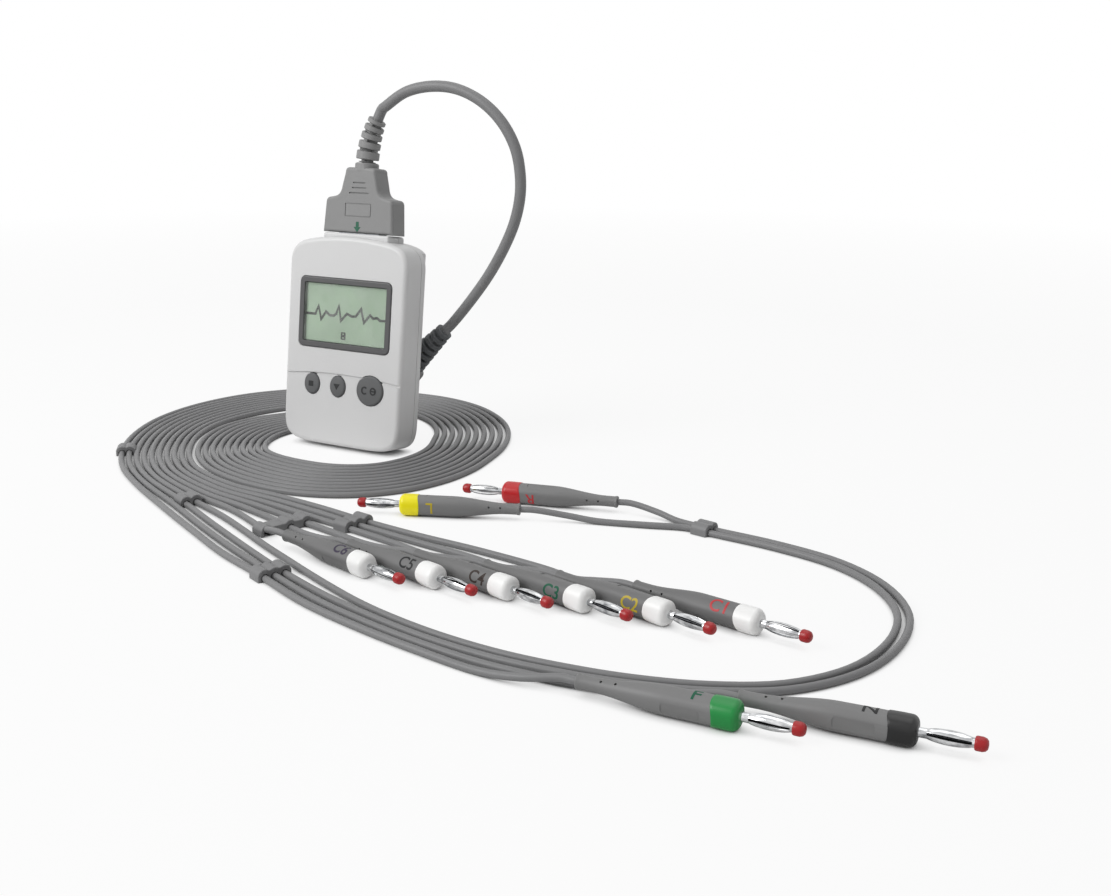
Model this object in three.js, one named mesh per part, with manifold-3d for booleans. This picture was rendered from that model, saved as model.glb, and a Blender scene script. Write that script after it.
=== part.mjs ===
// Electrocardiograph acquisition module with its trunk cable and ten banana-plug leads.
// Units are millimetres. +Z is up, the keypad faces -Y and +X is to the right of the keypad.
// The hand unit leans back on its bottom rear edge; its own pieces are drawn upright and then leaned.
import * as THREE from 'three';
import { mergeVertices } from 'three/addons/utils/BufferGeometryUtils.js';
import Module from 'manifold-3d';

const wasm = await Module();
wasm.setup();

// Fits
const CLEARANCE = 0.3;
const DEGREE = Math.PI / 180;

// Hand unit: case
const LEAN = 8.3 * DEGREE;
const CASE_WIDTH = 74;
const CASE_HEIGHT = 107.4;
const CASE_DEPTH = 22;
const BATTERY_BULGE = 3.5;
const BULGE_BOTTOM = 50;
const BULGE_RAMP = 8;
const BULGE_INSET = 4.4;
const BULGE_SIDE_RAMP = 1.6;
const WALL = 1.8;
const FRONT_FILLET = 2.6;
const REAR_FILLET = 3;
const OUTLINE_STEPS = 5;
const INNER_OUTLINE_STEPS = 4;
const CORNER_REACH = 15;
const TOP_CROWN = 1.6;
const FOOT_FLAT = 25;
const PARTING_FROM_FRONT = 13;
const GROOVE_HEIGHT = 34;
const GROOVE_RISE = 2.4;
const GROOVE_WIDTH = 0.8;
const GROOVE_DEPTH = 0.5;

// Display window
const WINDOW_CENTRE_HEIGHT = 68;
const BEZEL_WIDTH = 57.6;
const BEZEL_HEIGHT = 36;
const BEZEL_BORDER = 2.9;
const BEZEL_CORNER = 3;
const BEZEL_PROUD = 0.5;
const BEZEL_SEAT_DEPTH = 1;
const BEZEL_SKIRT_WALL = 0.9;
const BEZEL_SKIRT_DEPTH = 2.2;
const LENS_THICKNESS = 1.2;
const LENS_SET_BACK = 0.4;
const LCD_THICKNESS = 1.8;
const LCD_MARGIN = 1.4;

// Keypad
const KEY_ROW_HEIGHT = 31;
const KEY_PROUD = 0.9;
const KEY_TRAVEL = 0.8;
const KEY_FLANGE = 1.2;
const KEY_FLANGE_THICKNESS = 0.9;
const KEY_STEM_LENGTH = 0.7;
const SMALL_KEY_WIDTH = 9.7;
const SMALL_KEY_HEIGHT = 10.8;
const ROUND_KEY_WIDTH = 16.4;
const ROUND_KEY_HEIGHT = 15.2;
const MENU_KEY_X = -18.6;
const DOWN_KEY_X = -2;
const ENTER_KEY_X = 18.4;
const MAT_THICKNESS = 0.8;

// Main board
const BOARD_THICKNESS = 1.6;
const BOARD_MARGIN = 3;
const BOARD_BOTTOM = 9;
const BOARD_TOP_DROP = 15.4;
const CAN_WIDTH = 28;
const CAN_HEIGHT = 24;
const CAN_DEPTH = 3.2;
const CAN_CENTRE_HEIGHT = 32;

// Case screws
const SCREW_X = 29.5;
const LOWER_SCREW_HEIGHT = 14;
const UPPER_SCREW_DROP = 11.9;
const SCREW_RADIUS = 1.2;
const SCREW_HEAD_RADIUS = 2.3;
const SCREW_HEAD_THICKNESS = 1.5;
const SCREW_LENGTH = 9.5;
const SCREW_SEAT_FROM_BACK = 6.5;
const REAR_BOSS_RADIUS = 3.4;
const FRONT_BOSS_RADIUS = 2.6;
const BOARD_SEAT_RADIUS = 3.8;

// Cells and their bay
const CELL_DIAMETER = 10.5;
const CELL_LENGTH = 44.5;
const CELL_NUB_RADIUS = 1.9;
const CELL_NUB_LENGTH = 0.9;
const CELL_ROOM = 0.4;
const BAY_BOTTOM = 63;
const BAY_WALL = 1.6;
const BAY_FLOOR = 0.8;
const CONTACT_THICKNESS = 0.5;
const CONTACT_SPRING = 2.6;
const CONTACT_SPRING_RADIUS = 3;

// Battery door
const DOOR_THICKNESS = 1.5;
const DOOR_LAP = 3;
const DOOR_TRAVEL = 5;
const HOOK_LENGTH = 4;
const HOOK_THICKNESS = 0.8;
const HOOK_REACH = 1.4;
const GRIP_GROOVES = 4;
const GRIP_PITCH = 1.8;
const GRIP_WIDTH = 18;
const GRIP_DEPTH = 0.5;
const GRIP_FROM_TOP = 6;

// Lead socket and cable connector
const SOCKET_X = 1.5;
const COLLAR_WIDTH = 41;
const COLLAR_DEPTH = 14;
const COLLAR_RISE = 1.6;
const SOCKET_WIDTH = 37;
const SOCKET_DEPTH = 11.6;
const SOCKET_HEIGHT = 14;
const SHELL_WIDTH = 25;
const SHELL_DEPTH = 8.4;
const SHELL_REACH = 6;
const SHELL_ROOT = 4;
const HOOD_WIDTH = 44;
const HOOD_DEPTH = 11.6;
const HOOD_BASE_HEIGHT = 17.8;
const HOOD_HEIGHT = 35.4;
const HOOD_NECK_WIDTH = 19;
const HOOD_NECK_FLARE = 1.7;
const HOOD_TOP_WIDTH = 14;
const HOOD_STEP_RADIUS = 6;
const HOOD_STEP_HEIGHT = 2.5;
const HOOD_ROUNDING = 1.6;

// Strain relief boots
const BOOT_SIDES = 10;
const BOOT_RIBS = 6;
const RINGS_PER_RIB = 3;
const RIB_RISE = 1.1;
const HOOD_BOOT_RADIUS = 5.4;
const JUNCTION_BOOT_RADIUS = 6.2;
const BOOT_END_RADIUS = 3.4;
const HOOD_BOOT_BEND = [0.6, 12];
const HOOD_BOOT_END = [5.2, 21.5];

// Junction box behind the hand unit
const JUNCTION_LENGTH = 35;
const JUNCTION_END_WIDTH = 15;
const JUNCTION_TAPER = 21;
const JUNCTION_WIDTH = 30;
const JUNCTION_THICKNESS = 13;
const JUNCTION_ROUNDING = 2.4;
const JUNCTION_CORNER = 6;
const JUNCTION_TOP = [23.44, 44.49];
const JUNCTION_SLANT = 44.6 * DEGREE;
const JUNCTION_BOOT_LENGTH = 26.6;
const LEADS_PER_ROW = 5;
const LEAD_PITCH = 5.4;
const LEAD_ROW_PITCH = 7;
const COLLET_RADIUS = 2.1;
const COLLET_LENGTH = 3;

// Cords
const TRUNK_DIAMETER = 5.4;
const TRUNK_SIDES = 8;
const TRUNK_STEPS = 30;
const LEAD_DIAMETER = 2.8;
const LEAD_SIDES = 8;
const FLOOR_ROOM = 0.1;

// Banana plugs
const PLUG_LENGTH = 73;
const PIN_LENGTH = 19.5;
const PIN_ROOT = 6;
const PIN_NECK_RADIUS = 1.4;
const PIN_SPRING_RADIUS = 2.1;
const PIN_TIP_RADIUS = 2.25;
const PIN_TIP_LENGTH = 3.6;
const CAP_LENGTH = 8.6;
const CAP_HALF = 4.7;
const HANDLE_HALF = 4.5;
const TAIL_RADIUS = 2.4;
const TAPER_LENGTH = 24;
const TAIL_LENGTH = 6;

// Lead joiners
const JOINER_LENGTH = 8;
const JOINER_HEIGHT = 5;
const JOINER_WALL = 1.2;

// Finishes
const FINISH = {
  whiteShell: { color: 0xd6d8da, roughness: 0.45, metalness: 0 },
  bezel: { color: 0x45484b, roughness: 0.4, metalness: 0 },
  lens: { color: 0xc9d8c9, roughness: 0.1, metalness: 0 },
  display: { color: 0xa3b8a0, roughness: 0.5, metalness: 0 },
  key: { color: 0x5d6063, roughness: 0.7, metalness: 0 },
  board: { color: 0x1f5a33, roughness: 0.6, metalness: 0 },
  greyCable: { color: 0x7d8083, roughness: 0.6, metalness: 0 },
  darkBoot: { color: 0x5a5d60, roughness: 0.7, metalness: 0 },
  socket: { color: 0x2b2d30, roughness: 0.5, metalness: 0 },
  steel: { color: 0xb9bcc0, roughness: 0.3, metalness: 1 },
  chrome: { color: 0xd4d6d8, roughness: 0.12, metalness: 1 },
  cell: { color: 0x2f4f6f, roughness: 0.35, metalness: 0.2 },
};

// Solids: closed three.js geometries become manifold solids for the boolean cuts and joins.
function solidOf(geometry) {
  const bare = geometry.clone();
  bare.deleteAttribute('normal');
  bare.deleteAttribute('uv');
  const merged = mergeVertices(bare, 1e-5);
  const mesh = new wasm.Mesh({
    numProp: 3,
    vertProperties: new Float32Array(merged.attributes.position.array),
    triVerts: new Uint32Array(merged.index.array),
  });
  return new wasm.Manifold(mesh);
}

function geometryOf(solid) {
  const mesh = solid.getMesh();
  const geometry = new THREE.BufferGeometry();
  geometry.setAttribute('position', new THREE.BufferAttribute(mesh.vertProperties, 3));
  geometry.setIndex(new THREE.BufferAttribute(mesh.triVerts, 1));
  geometry.computeVertexNormals();
  return geometry;
}

const joined = (first, ...others) => others.reduce((sum, next) => sum.add(next), first);
const cut = (first, ...tools) => tools.reduce((rest, tool) => rest.subtract(tool), first);

// A box between two opposite corners.
function block(low, high) {
  const geometry = new THREE.BoxGeometry(high[0] - low[0], high[1] - low[1], high[2] - low[2]);
  geometry.translate((low[0] + high[0]) / 2, (low[1] + high[1]) / 2, (low[2] + high[2]) / 2);
  return solidOf(geometry);
}

// A front-view outline (x, z) made solid between two depths, with an optional rounded edge at both ends.
function slab(shape, yFront, yBack, rounding = 0, roundingSteps = 3, curveSegments = 6) {
  const geometry = new THREE.ExtrudeGeometry(shape, {
    depth: yBack - yFront - 2 * rounding,
    bevelEnabled: rounding > 0,
    bevelThickness: rounding,
    bevelSize: rounding,
    bevelOffset: -rounding,
    bevelSegments: roundingSteps,
    curveSegments,
  });
  geometry.rotateX(Math.PI / 2);
  geometry.translate(0, yBack - rounding, 0);
  return solidOf(geometry);
}

// A side-view outline (y, z) made solid from one x to another.
function sideSlab(points, xLeft, xRight) {
  const shape = new THREE.Shape(points.map(([y, z]) => new THREE.Vector2(y, z)));
  const geometry = new THREE.ExtrudeGeometry(shape, { depth: xRight - xLeft, bevelEnabled: false });
  geometry.rotateY(Math.PI / 2);
  geometry.rotateX(Math.PI / 2);
  geometry.translate(xLeft, 0, 0);
  return solidOf(geometry);
}

function cylinderAlongY(radius, yFront, yBack, x, z, sides = 10) {
  const geometry = new THREE.CylinderGeometry(radius, radius, yBack - yFront, sides);
  geometry.translate(x, (yFront + yBack) / 2, z);
  return solidOf(geometry);
}

function roundedRectangle(width, height, corner, centreX = 0, centreZ = 0) {
  const shape = new THREE.Shape();
  const left = centreX - width / 2;
  const right = centreX + width / 2;
  const bottom = centreZ - height / 2;
  const top = centreZ + height / 2;
  shape.moveTo(left + corner, bottom);
  shape.lineTo(right - corner, bottom);
  shape.absarc(right - corner, bottom + corner, corner, -Math.PI / 2, 0);
  shape.lineTo(right, top - corner);
  shape.absarc(right - corner, top - corner, corner, 0, Math.PI / 2);
  shape.lineTo(left + corner, top);
  shape.absarc(left + corner, top - corner, corner, Math.PI / 2, Math.PI);
  shape.lineTo(left, bottom + corner);
  shape.absarc(left + corner, bottom + corner, corner, Math.PI, 1.5 * Math.PI);
  return shape;
}

function ellipseShape(width, height, centreX, centreZ) {
  const shape = new THREE.Shape();
  shape.absellipse(centreX, centreZ, width / 2, height / 2, 0, 2 * Math.PI);
  return shape;
}

// Rings of points joined into one closed skin, with flat ends.
function loft(rings) {
  const sides = rings[0].length;
  const positions = rings.flat().flatMap((point) => [point.x, point.y, point.z]);
  const index = [];
  for (let ring = 0; ring + 1 < rings.length; ring += 1) {
    for (let side = 0; side < sides; side += 1) {
      const a = ring * sides + side;
      const b = ring * sides + ((side + 1) % sides);
      index.push(a, b, a + sides, b, b + sides, a + sides);
    }
  }
  const last = (rings.length - 1) * sides;
  for (let side = 1; side + 1 < sides; side += 1) {
    index.push(0, side + 1, side, last, last + side, last + side + 1);
  }
  const geometry = new THREE.BufferGeometry();
  geometry.setAttribute('position', new THREE.Float32BufferAttribute(positions, 3));
  geometry.setIndex(index);
  geometry.computeVertexNormals();
  return geometry;
}

// A tube along a curve whose radius changes: radii holds one value for each ring, evenly spaced.
function taperedTube(curve, radii, sides) {
  const frames = curve.computeFrenetFrames(radii.length - 1, false);
  const rings = radii.map((radius, ring) => {
    const centre = curve.getPointAt(ring / (radii.length - 1));
    return Array.from({ length: sides }, (_, side) => {
      const angle = (side / sides) * 2 * Math.PI;
      return centre.clone()
        .addScaledVector(frames.normals[ring], radius * Math.cos(angle))
        .addScaledVector(frames.binormals[ring], radius * Math.sin(angle));
    });
  });
  return loft(rings);
}

// Materials and meshes
const materials = Object.fromEntries(
  Object.entries(FINISH).map(([name, finish]) => [name, new THREE.MeshStandardMaterial(finish)]),
);

function piece(name, source, material, parent) {
  const geometry = source instanceof THREE.BufferGeometry ? source : geometryOf(source);
  const mesh = new THREE.Mesh(geometry, material);
  mesh.name = name;
  parent.add(mesh);
  return mesh;
}

// Places worked out from the sizes, in the upright frame of the hand unit.
const FRONT = -CASE_DEPTH / 2;
const BACK = CASE_DEPTH / 2;
const LOWER_BACK = BACK - BATTERY_BULGE;
const INNER_FRONT = FRONT + WALL;
const PARTING = FRONT + PARTING_FROM_FRONT;
const KEY_FLANGE_FRONT = INNER_FRONT + CLEARANCE;
const KEY_BACK = KEY_FLANGE_FRONT + KEY_FLANGE_THICKNESS + KEY_STEM_LENGTH;
const MAT_FRONT = KEY_BACK + KEY_TRAVEL + CLEARANCE;
const BOARD_FRONT = MAT_FRONT + MAT_THICKNESS + CLEARANCE;
const BOARD_BACK = BOARD_FRONT + BOARD_THICKNESS;
const BAY_FRONT = BOARD_BACK + CLEARANCE;
const DOOR_FRONT = BACK - DOOR_THICKNESS;
const RIM = DOOR_FRONT - CLEARANCE;
const BAY_HEIGHT = 2 * CELL_DIAMETER + 3 * CELL_ROOM;
const BAY_TOP = BAY_BOTTOM + BAY_HEIGHT;
const CELL_GAP = CLEARANCE;
const CONTACT_SPAN = CONTACT_SPRING + CELL_GAP + CELL_LENGTH + CELL_GAP;
const BAY_HALF = CONTACT_SPAN / 2 + CONTACT_THICKNESS + CLEARANCE;
const CELL_Y = BAY_FRONT + BAY_FLOOR + CELL_ROOM + CELL_DIAMETER / 2;
const DOOR_HALF = BAY_HALF + DOOR_LAP;
const DOOR_TOP = BAY_TOP + DOOR_LAP;
const SCREW_SEAT = BACK - SCREW_SEAT_FROM_BACK;
const COLLAR_TOP = CASE_HEIGHT + COLLAR_RISE;
const HOOD_BOTTOM = COLLAR_TOP + CLEARANCE;
const HOOD_TOP = HOOD_BOTTOM + HOOD_HEIGHT;
const SCREWS = [
  [-SCREW_X, LOWER_SCREW_HEIGHT],
  [SCREW_X, LOWER_SCREW_HEIGHT],
  [-SCREW_X, CASE_HEIGHT - UPPER_SCREW_DROP],
  [SCREW_X, CASE_HEIGHT - UPPER_SCREW_DROP],
];
const KEYS = [
  { name: 'menu_button', x: MENU_KEY_X, width: SMALL_KEY_WIDTH, height: SMALL_KEY_HEIGHT },
  { name: 'down_button', x: DOWN_KEY_X, width: SMALL_KEY_WIDTH, height: SMALL_KEY_HEIGHT },
  { name: 'enter_button', x: ENTER_KEY_X, width: ROUND_KEY_WIDTH, height: ROUND_KEY_HEIGHT },
];

// Case outline: a short flat foot, broad soft corners and a crowned top, drawn inset from the outside.
function caseOutline(inset = 0) {
  const side = CASE_WIDTH / 2 - inset;
  const top = CASE_HEIGHT - inset;
  const foot = FOOT_FLAT / 2;
  const reach = CORNER_REACH - inset;
  const shoulder = side - reach;
  const crownSlope = (2 * TOP_CROWN) / shoulder;
  const shape = new THREE.Shape();
  shape.moveTo(-foot, inset);
  shape.lineTo(foot, inset);
  shape.bezierCurveTo(side - 0.25 * reach, inset, side, inset + 0.15 * reach, side, inset + reach);
  shape.lineTo(side, top - reach);
  shape.bezierCurveTo(
    side, top - 0.35 * reach,
    side - 0.35 * reach, top - TOP_CROWN - 0.65 * reach * crownSlope,
    shoulder, top - TOP_CROWN,
  );
  shape.quadraticCurveTo(0, top + TOP_CROWN, -shoulder, top - TOP_CROWN);
  shape.bezierCurveTo(
    -side + 0.35 * reach, top - TOP_CROWN - 0.65 * reach * crownSlope,
    -side, top - 0.35 * reach,
    -side, top - reach,
  );
  shape.lineTo(-side, inset + reach);
  shape.bezierCurveTo(-side, inset + 0.15 * reach, -side + 0.25 * reach, inset, -foot, inset);
  return shape;
}

// Everything above the ramp that leads up to the battery bulge, shifted up by a wall where asked.
function aboveRamp(shift = 0) {
  const far = CASE_HEIGHT * 2;
  const slope = BULGE_RAMP / BATTERY_BULGE;
  const bottom = BULGE_BOTTOM + shift;
  const deep = CASE_DEPTH;
  return sideSlab([
    [LOWER_BACK - deep, bottom - deep * slope],
    [BACK + deep, bottom + BULGE_RAMP + deep * slope],
    [BACK + deep, far],
    [LOWER_BACK - deep, far],
  ], -CASE_WIDTH, CASE_WIDTH);
}

// The bulge is narrower than the case, with a short ramp at each side, drawn in by a wall where asked.
function bulgeSides(inset = 0) {
  const narrow = CASE_WIDTH / 2 - BULGE_INSET - inset;
  const wide = narrow + BULGE_SIDE_RAMP;
  const geometry = new THREE.ExtrudeGeometry(new THREE.Shape([
    new THREE.Vector2(-wide, FRONT),
    new THREE.Vector2(wide, FRONT),
    new THREE.Vector2(wide, LOWER_BACK),
    new THREE.Vector2(narrow, BACK),
    new THREE.Vector2(narrow, BACK + WALL),
    new THREE.Vector2(-narrow, BACK + WALL),
    new THREE.Vector2(-narrow, BACK),
    new THREE.Vector2(-wide, LOWER_BACK),
  ]), { depth: CASE_HEIGHT * 2, bevelEnabled: false });
  return solidOf(geometry);
}

function halfSpace(yFront, yBack) {
  const far = CASE_HEIGHT * 2;
  return block([-far, yFront, -far], [far, yBack, far]);
}

function collar() {
  const outline = roundedRectangle(
    COLLAR_WIDTH, 2 * SOCKET_HEIGHT, 1.5, SOCKET_X, COLLAR_TOP - SOCKET_HEIGHT,
  );
  return slab(outline, -COLLAR_DEPTH / 2, COLLAR_DEPTH / 2, 1, 2);
}

function socketOpening() {
  const half = SOCKET_WIDTH / 2 + CLEARANCE;
  const deep = SOCKET_DEPTH / 2 + CLEARANCE;
  const bottom = COLLAR_TOP - 2 * SOCKET_HEIGHT - CLEARANCE;
  return block([SOCKET_X - half, -deep, bottom], [SOCKET_X + half, deep, COLLAR_TOP + WALL]);
}

// A boss keeps to the inside of the case, so it is trimmed by the full outline.
function screwBoss(radius, yFront, yBack, x, z) {
  return cylinderAlongY(radius, yFront, yBack, x, z);
}

function frontShell() {
  const behindFront = halfSpace(FRONT - WALL, PARTING - CLEARANCE / 2);
  const outer = slab(caseOutline(), FRONT, BACK, FRONT_FILLET, 3, OUTLINE_STEPS);
  const inner = slab(
    caseOutline(WALL), INNER_FRONT, BACK, FRONT_FILLET - WALL, 2, INNER_OUTLINE_STEPS,
  );
  let shell = cut(outer, inner);
  shell = joined(shell, collar().subtract(inner)).intersect(behindFront);
  for (const [x, z] of SCREWS) {
    const tall = screwBoss(FRONT_BOSS_RADIUS, FRONT + WALL / 2, PARTING - CLEARANCE / 2, x, z);
    shell = joined(shell, tall.intersect(outer));
    if (z < CASE_HEIGHT / 2) {
      const seat = screwBoss(BOARD_SEAT_RADIUS, FRONT + WALL / 2, BOARD_FRONT - CLEARANCE, x, z);
      shell = joined(shell, seat.intersect(outer));
    }
    const pilot = SCREW_RADIUS + CLEARANCE;
    shell = cut(shell, cylinderAlongY(pilot, SCREW_SEAT - SCREW_LENGTH, PARTING, x, z, 8));
  }
  const seatWidth = BEZEL_WIDTH + 2 * CLEARANCE;
  const seatHeight = BEZEL_HEIGHT + 2 * CLEARANCE;
  const seat = roundedRectangle(
    seatWidth, seatHeight, BEZEL_CORNER + CLEARANCE, 0, WINDOW_CENTRE_HEIGHT,
  );
  const throat = roundedRectangle(
    BEZEL_WIDTH - 2 * BEZEL_BORDER + 2 * BEZEL_SKIRT_WALL + 2 * CLEARANCE,
    BEZEL_HEIGHT - 2 * BEZEL_BORDER + 2 * BEZEL_SKIRT_WALL + 2 * CLEARANCE,
    1.5, 0, WINDOW_CENTRE_HEIGHT,
  );
  shell = cut(
    shell,
    slab(seat, FRONT - WALL, FRONT + BEZEL_SEAT_DEPTH, 0, 0, 2),
    slab(throat, FRONT - WALL, INNER_FRONT + WALL, 0, 0, 1),
    socketOpening(),
    frontGroove(),
  );
  for (const key of KEYS) {
    const hole = ellipseShape(
      key.width + 2 * CLEARANCE, key.height + 2 * CLEARANCE, key.x, KEY_ROW_HEIGHT,
    );
    shell = cut(shell, slab(hole, FRONT - WALL, INNER_FRONT + WALL, 0, 0, 9));
  }
  return shell;
}

// The shallow styling groove that runs across the front just above the keys.
function frontGroove() {
  const half = CASE_WIDTH / 2 + WALL;
  const arc = (lift) => new THREE.QuadraticBezierCurve(
    new THREE.Vector2(-half, GROOVE_HEIGHT + lift),
    new THREE.Vector2(0, GROOVE_HEIGHT + 2 * GROOVE_RISE + lift),
    new THREE.Vector2(half, GROOVE_HEIGHT + lift),
  ).getPoints(8);
  const band = new THREE.Shape([...arc(0), ...arc(GROOVE_WIDTH).reverse()]);
  return slab(band, FRONT - WALL, FRONT + GROOVE_DEPTH);
}

function rearShell() {
  const behindParting = halfSpace(PARTING + CLEARANCE / 2, BACK + CASE_DEPTH);
  const skin = (back) => slab(caseOutline(), FRONT, back, REAR_FILLET, 3, OUTLINE_STEPS);
  const room = (back) => slab(
    caseOutline(WALL), FRONT, back - WALL, REAR_FILLET - WALL, 2, INNER_OUTLINE_STEPS,
  );
  const bulge = skin(BACK).intersect(aboveRamp()).intersect(bulgeSides());
  const hollow = room(BACK).intersect(aboveRamp(WALL * 1.5)).intersect(bulgeSides(WALL * 1.2));
  const outer = joined(skin(LOWER_BACK), bulge);
  const inside = joined(room(LOWER_BACK), hollow);
  let shell = joined(cut(outer, inside), collar().subtract(inside)).intersect(behindParting);
  for (const [x, z] of SCREWS) {
    const boss = screwBoss(REAR_BOSS_RADIUS, PARTING + CLEARANCE / 2, BACK, x, z);
    shell = joined(shell, boss.intersect(outer));
    shell = cut(
      shell,
      cylinderAlongY(SCREW_RADIUS + CLEARANCE, FRONT, BACK, x, z, 8),
      cylinderAlongY(SCREW_HEAD_RADIUS + CLEARANCE, SCREW_SEAT, BACK + WALL, x, z),
    );
  }
  const tray = block(
    [-BAY_HALF - BAY_WALL, BAY_FRONT, BAY_BOTTOM - BAY_WALL],
    [BAY_HALF + BAY_WALL, BACK - WALL / 2, BAY_TOP + BAY_WALL],
  );
  const rimDepth = HOOK_THICKNESS + HOOK_REACH + 2 * CLEARANCE;
  const rim = block(
    [-DOOR_HALF - BAY_WALL, RIM - rimDepth, BAY_BOTTOM - DOOR_LAP],
    [DOOR_HALF + BAY_WALL, BACK - WALL / 2, DOOR_TOP],
  );
  shell = joined(shell, tray, rim.intersect(outer));
  const bay = block([-BAY_HALF, BAY_FRONT + BAY_FLOOR, BAY_BOTTOM], [BAY_HALF, BACK + WALL, BAY_TOP]);
  const doorWay = block(
    [-DOOR_HALF - CLEARANCE, RIM, BULGE_BOTTOM - BULGE_RAMP],
    [DOOR_HALF + CLEARANCE, BACK + WALL, DOOR_TOP + CLEARANCE],
  );
  return cut(shell, bay, doorWay, socketOpening(), ...hookPockets());
}

// Hooks at both sides of the door: the lower pair still has the travel of the door below it.
const HOOK_HEIGHTS = [
  BAY_BOTTOM + CLEARANCE + DOOR_TRAVEL + HOOK_LENGTH / 2,
  BAY_TOP - CLEARANCE - HOOK_LENGTH / 2,
];
const HOOK_BACK = RIM - WALL / 2 - CLEARANCE;
const HOOK_FRONT = HOOK_BACK - HOOK_THICKNESS;

function hookPockets() {
  const pockets = [];
  for (const side of [-1, 1]) {
    for (const height of HOOK_HEIGHTS) {
      const near = BAY_HALF - CLEARANCE;
      const far = BAY_HALF + HOOK_REACH + 2 * CLEARANCE;
      const [left, right] = side > 0 ? [near, far] : [-far, -near];
      const top = height + HOOK_LENGTH / 2 + CLEARANCE;
      const bottom = height - HOOK_LENGTH / 2 - DOOR_TRAVEL - CLEARANCE;
      pockets.push(block([left, HOOK_FRONT - CLEARANCE, bottom], [right, HOOK_BACK + CLEARANCE, top]));
      const mouthTop = height + HOOK_LENGTH / 2 - DOOR_TRAVEL + CLEARANCE;
      pockets.push(block([left, HOOK_FRONT - CLEARANCE, bottom], [right, BACK, mouthTop]));
    }
  }
  return pockets;
}

function batteryDoor() {
  const plate = block([-DOOR_HALF, DOOR_FRONT, BULGE_BOTTOM], [DOOR_HALF, BACK, DOOR_TOP]);
  let door = plate.intersect(aboveRamp(CLEARANCE));
  for (const side of [-1, 1]) {
    for (const height of HOOK_HEIGHTS) {
      const inner = BAY_HALF - CLEARANCE - HOOK_THICKNESS;
      const legEnd = BAY_HALF - CLEARANCE;
      const footEnd = BAY_HALF + HOOK_REACH;
      const span = (from, to) => (side > 0 ? [from, to] : [-to, -from]);
      const low = height - HOOK_LENGTH / 2;
      const high = height + HOOK_LENGTH / 2;
      const [legLeft, legRight] = span(inner, legEnd);
      const [footLeft, footRight] = span(inner, footEnd);
      door = joined(
        door,
        block([legLeft, HOOK_FRONT, low], [legRight, DOOR_FRONT + DOOR_THICKNESS / 2, high]),
        block([footLeft, HOOK_FRONT, low], [footRight, HOOK_BACK, high]),
      );
    }
  }
  for (let groove = 0; groove < GRIP_GROOVES; groove += 1) {
    const height = DOOR_TOP - GRIP_FROM_TOP - groove * GRIP_PITCH;
    door = cut(door, block(
      [-GRIP_WIDTH / 2, BACK - GRIP_DEPTH, height - GRIP_PITCH / 4],
      [GRIP_WIDTH / 2, BACK + WALL, height + GRIP_PITCH / 4],
    ));
  }
  return door;
}

function windowBezel() {
  const openWidth = BEZEL_WIDTH - 2 * BEZEL_BORDER;
  const openHeight = BEZEL_HEIGHT - 2 * BEZEL_BORDER;
  const skirtBack = FRONT + BEZEL_SEAT_DEPTH + BEZEL_SKIRT_DEPTH;
  const rimBack = FRONT + BEZEL_SEAT_DEPTH - CLEARANCE;
  const frame = slab(
    roundedRectangle(BEZEL_WIDTH, BEZEL_HEIGHT, BEZEL_CORNER, 0, WINDOW_CENTRE_HEIGHT),
    FRONT - BEZEL_PROUD, rimBack, 0.4, 1, 2,
  );
  const skirt = slab(
    roundedRectangle(
      openWidth + 2 * BEZEL_SKIRT_WALL, openHeight + 2 * BEZEL_SKIRT_WALL, 1.2,
      0, WINDOW_CENTRE_HEIGHT,
    ),
    FRONT, skirtBack, 0, 0, 1,
  );
  const opening = slab(
    roundedRectangle(openWidth, openHeight, 0.8, 0, WINDOW_CENTRE_HEIGHT),
    FRONT - WALL - BEZEL_PROUD, skirtBack + WALL, 0, 0, 1,
  );
  return cut(joined(frame, skirt), opening);
}

function windowLens() {
  const outline = roundedRectangle(
    BEZEL_WIDTH - 2 * BEZEL_BORDER - 2 * CLEARANCE,
    BEZEL_HEIGHT - 2 * BEZEL_BORDER - 2 * CLEARANCE,
    0.6, 0, WINDOW_CENTRE_HEIGHT,
  );
  const front = FRONT - BEZEL_PROUD + LENS_SET_BACK;
  return slab(outline, front, front + LENS_THICKNESS, 0, 0, 2);
}

function lcdPanel() {
  const halfWidth = BEZEL_WIDTH / 2 - BEZEL_BORDER + LCD_MARGIN;
  const halfHeight = BEZEL_HEIGHT / 2 - BEZEL_BORDER + LCD_MARGIN;
  const back = BOARD_FRONT - CLEARANCE;
  return block(
    [-halfWidth, back - LCD_THICKNESS, WINDOW_CENTRE_HEIGHT - halfHeight],
    [halfWidth, back, WINDOW_CENTRE_HEIGHT + halfHeight],
  );
}

function keyCap({ x, width, height }) {
  const head = slab(
    ellipseShape(width, height, x, KEY_ROW_HEIGHT),
    FRONT - KEY_PROUD, KEY_FLANGE_FRONT + KEY_FLANGE_THICKNESS, 0.6, 1, 9,
  );
  const flange = slab(
    ellipseShape(width + 2 * KEY_FLANGE, height + 2 * KEY_FLANGE, x, KEY_ROW_HEIGHT),
    KEY_FLANGE_FRONT, KEY_FLANGE_FRONT + KEY_FLANGE_THICKNESS, 0, 0, 6,
  );
  const stem = cylinderAlongY(width / 5, KEY_FLANGE_FRONT, KEY_BACK, x, KEY_ROW_HEIGHT, 8);
  return joined(head, flange, stem);
}

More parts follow.
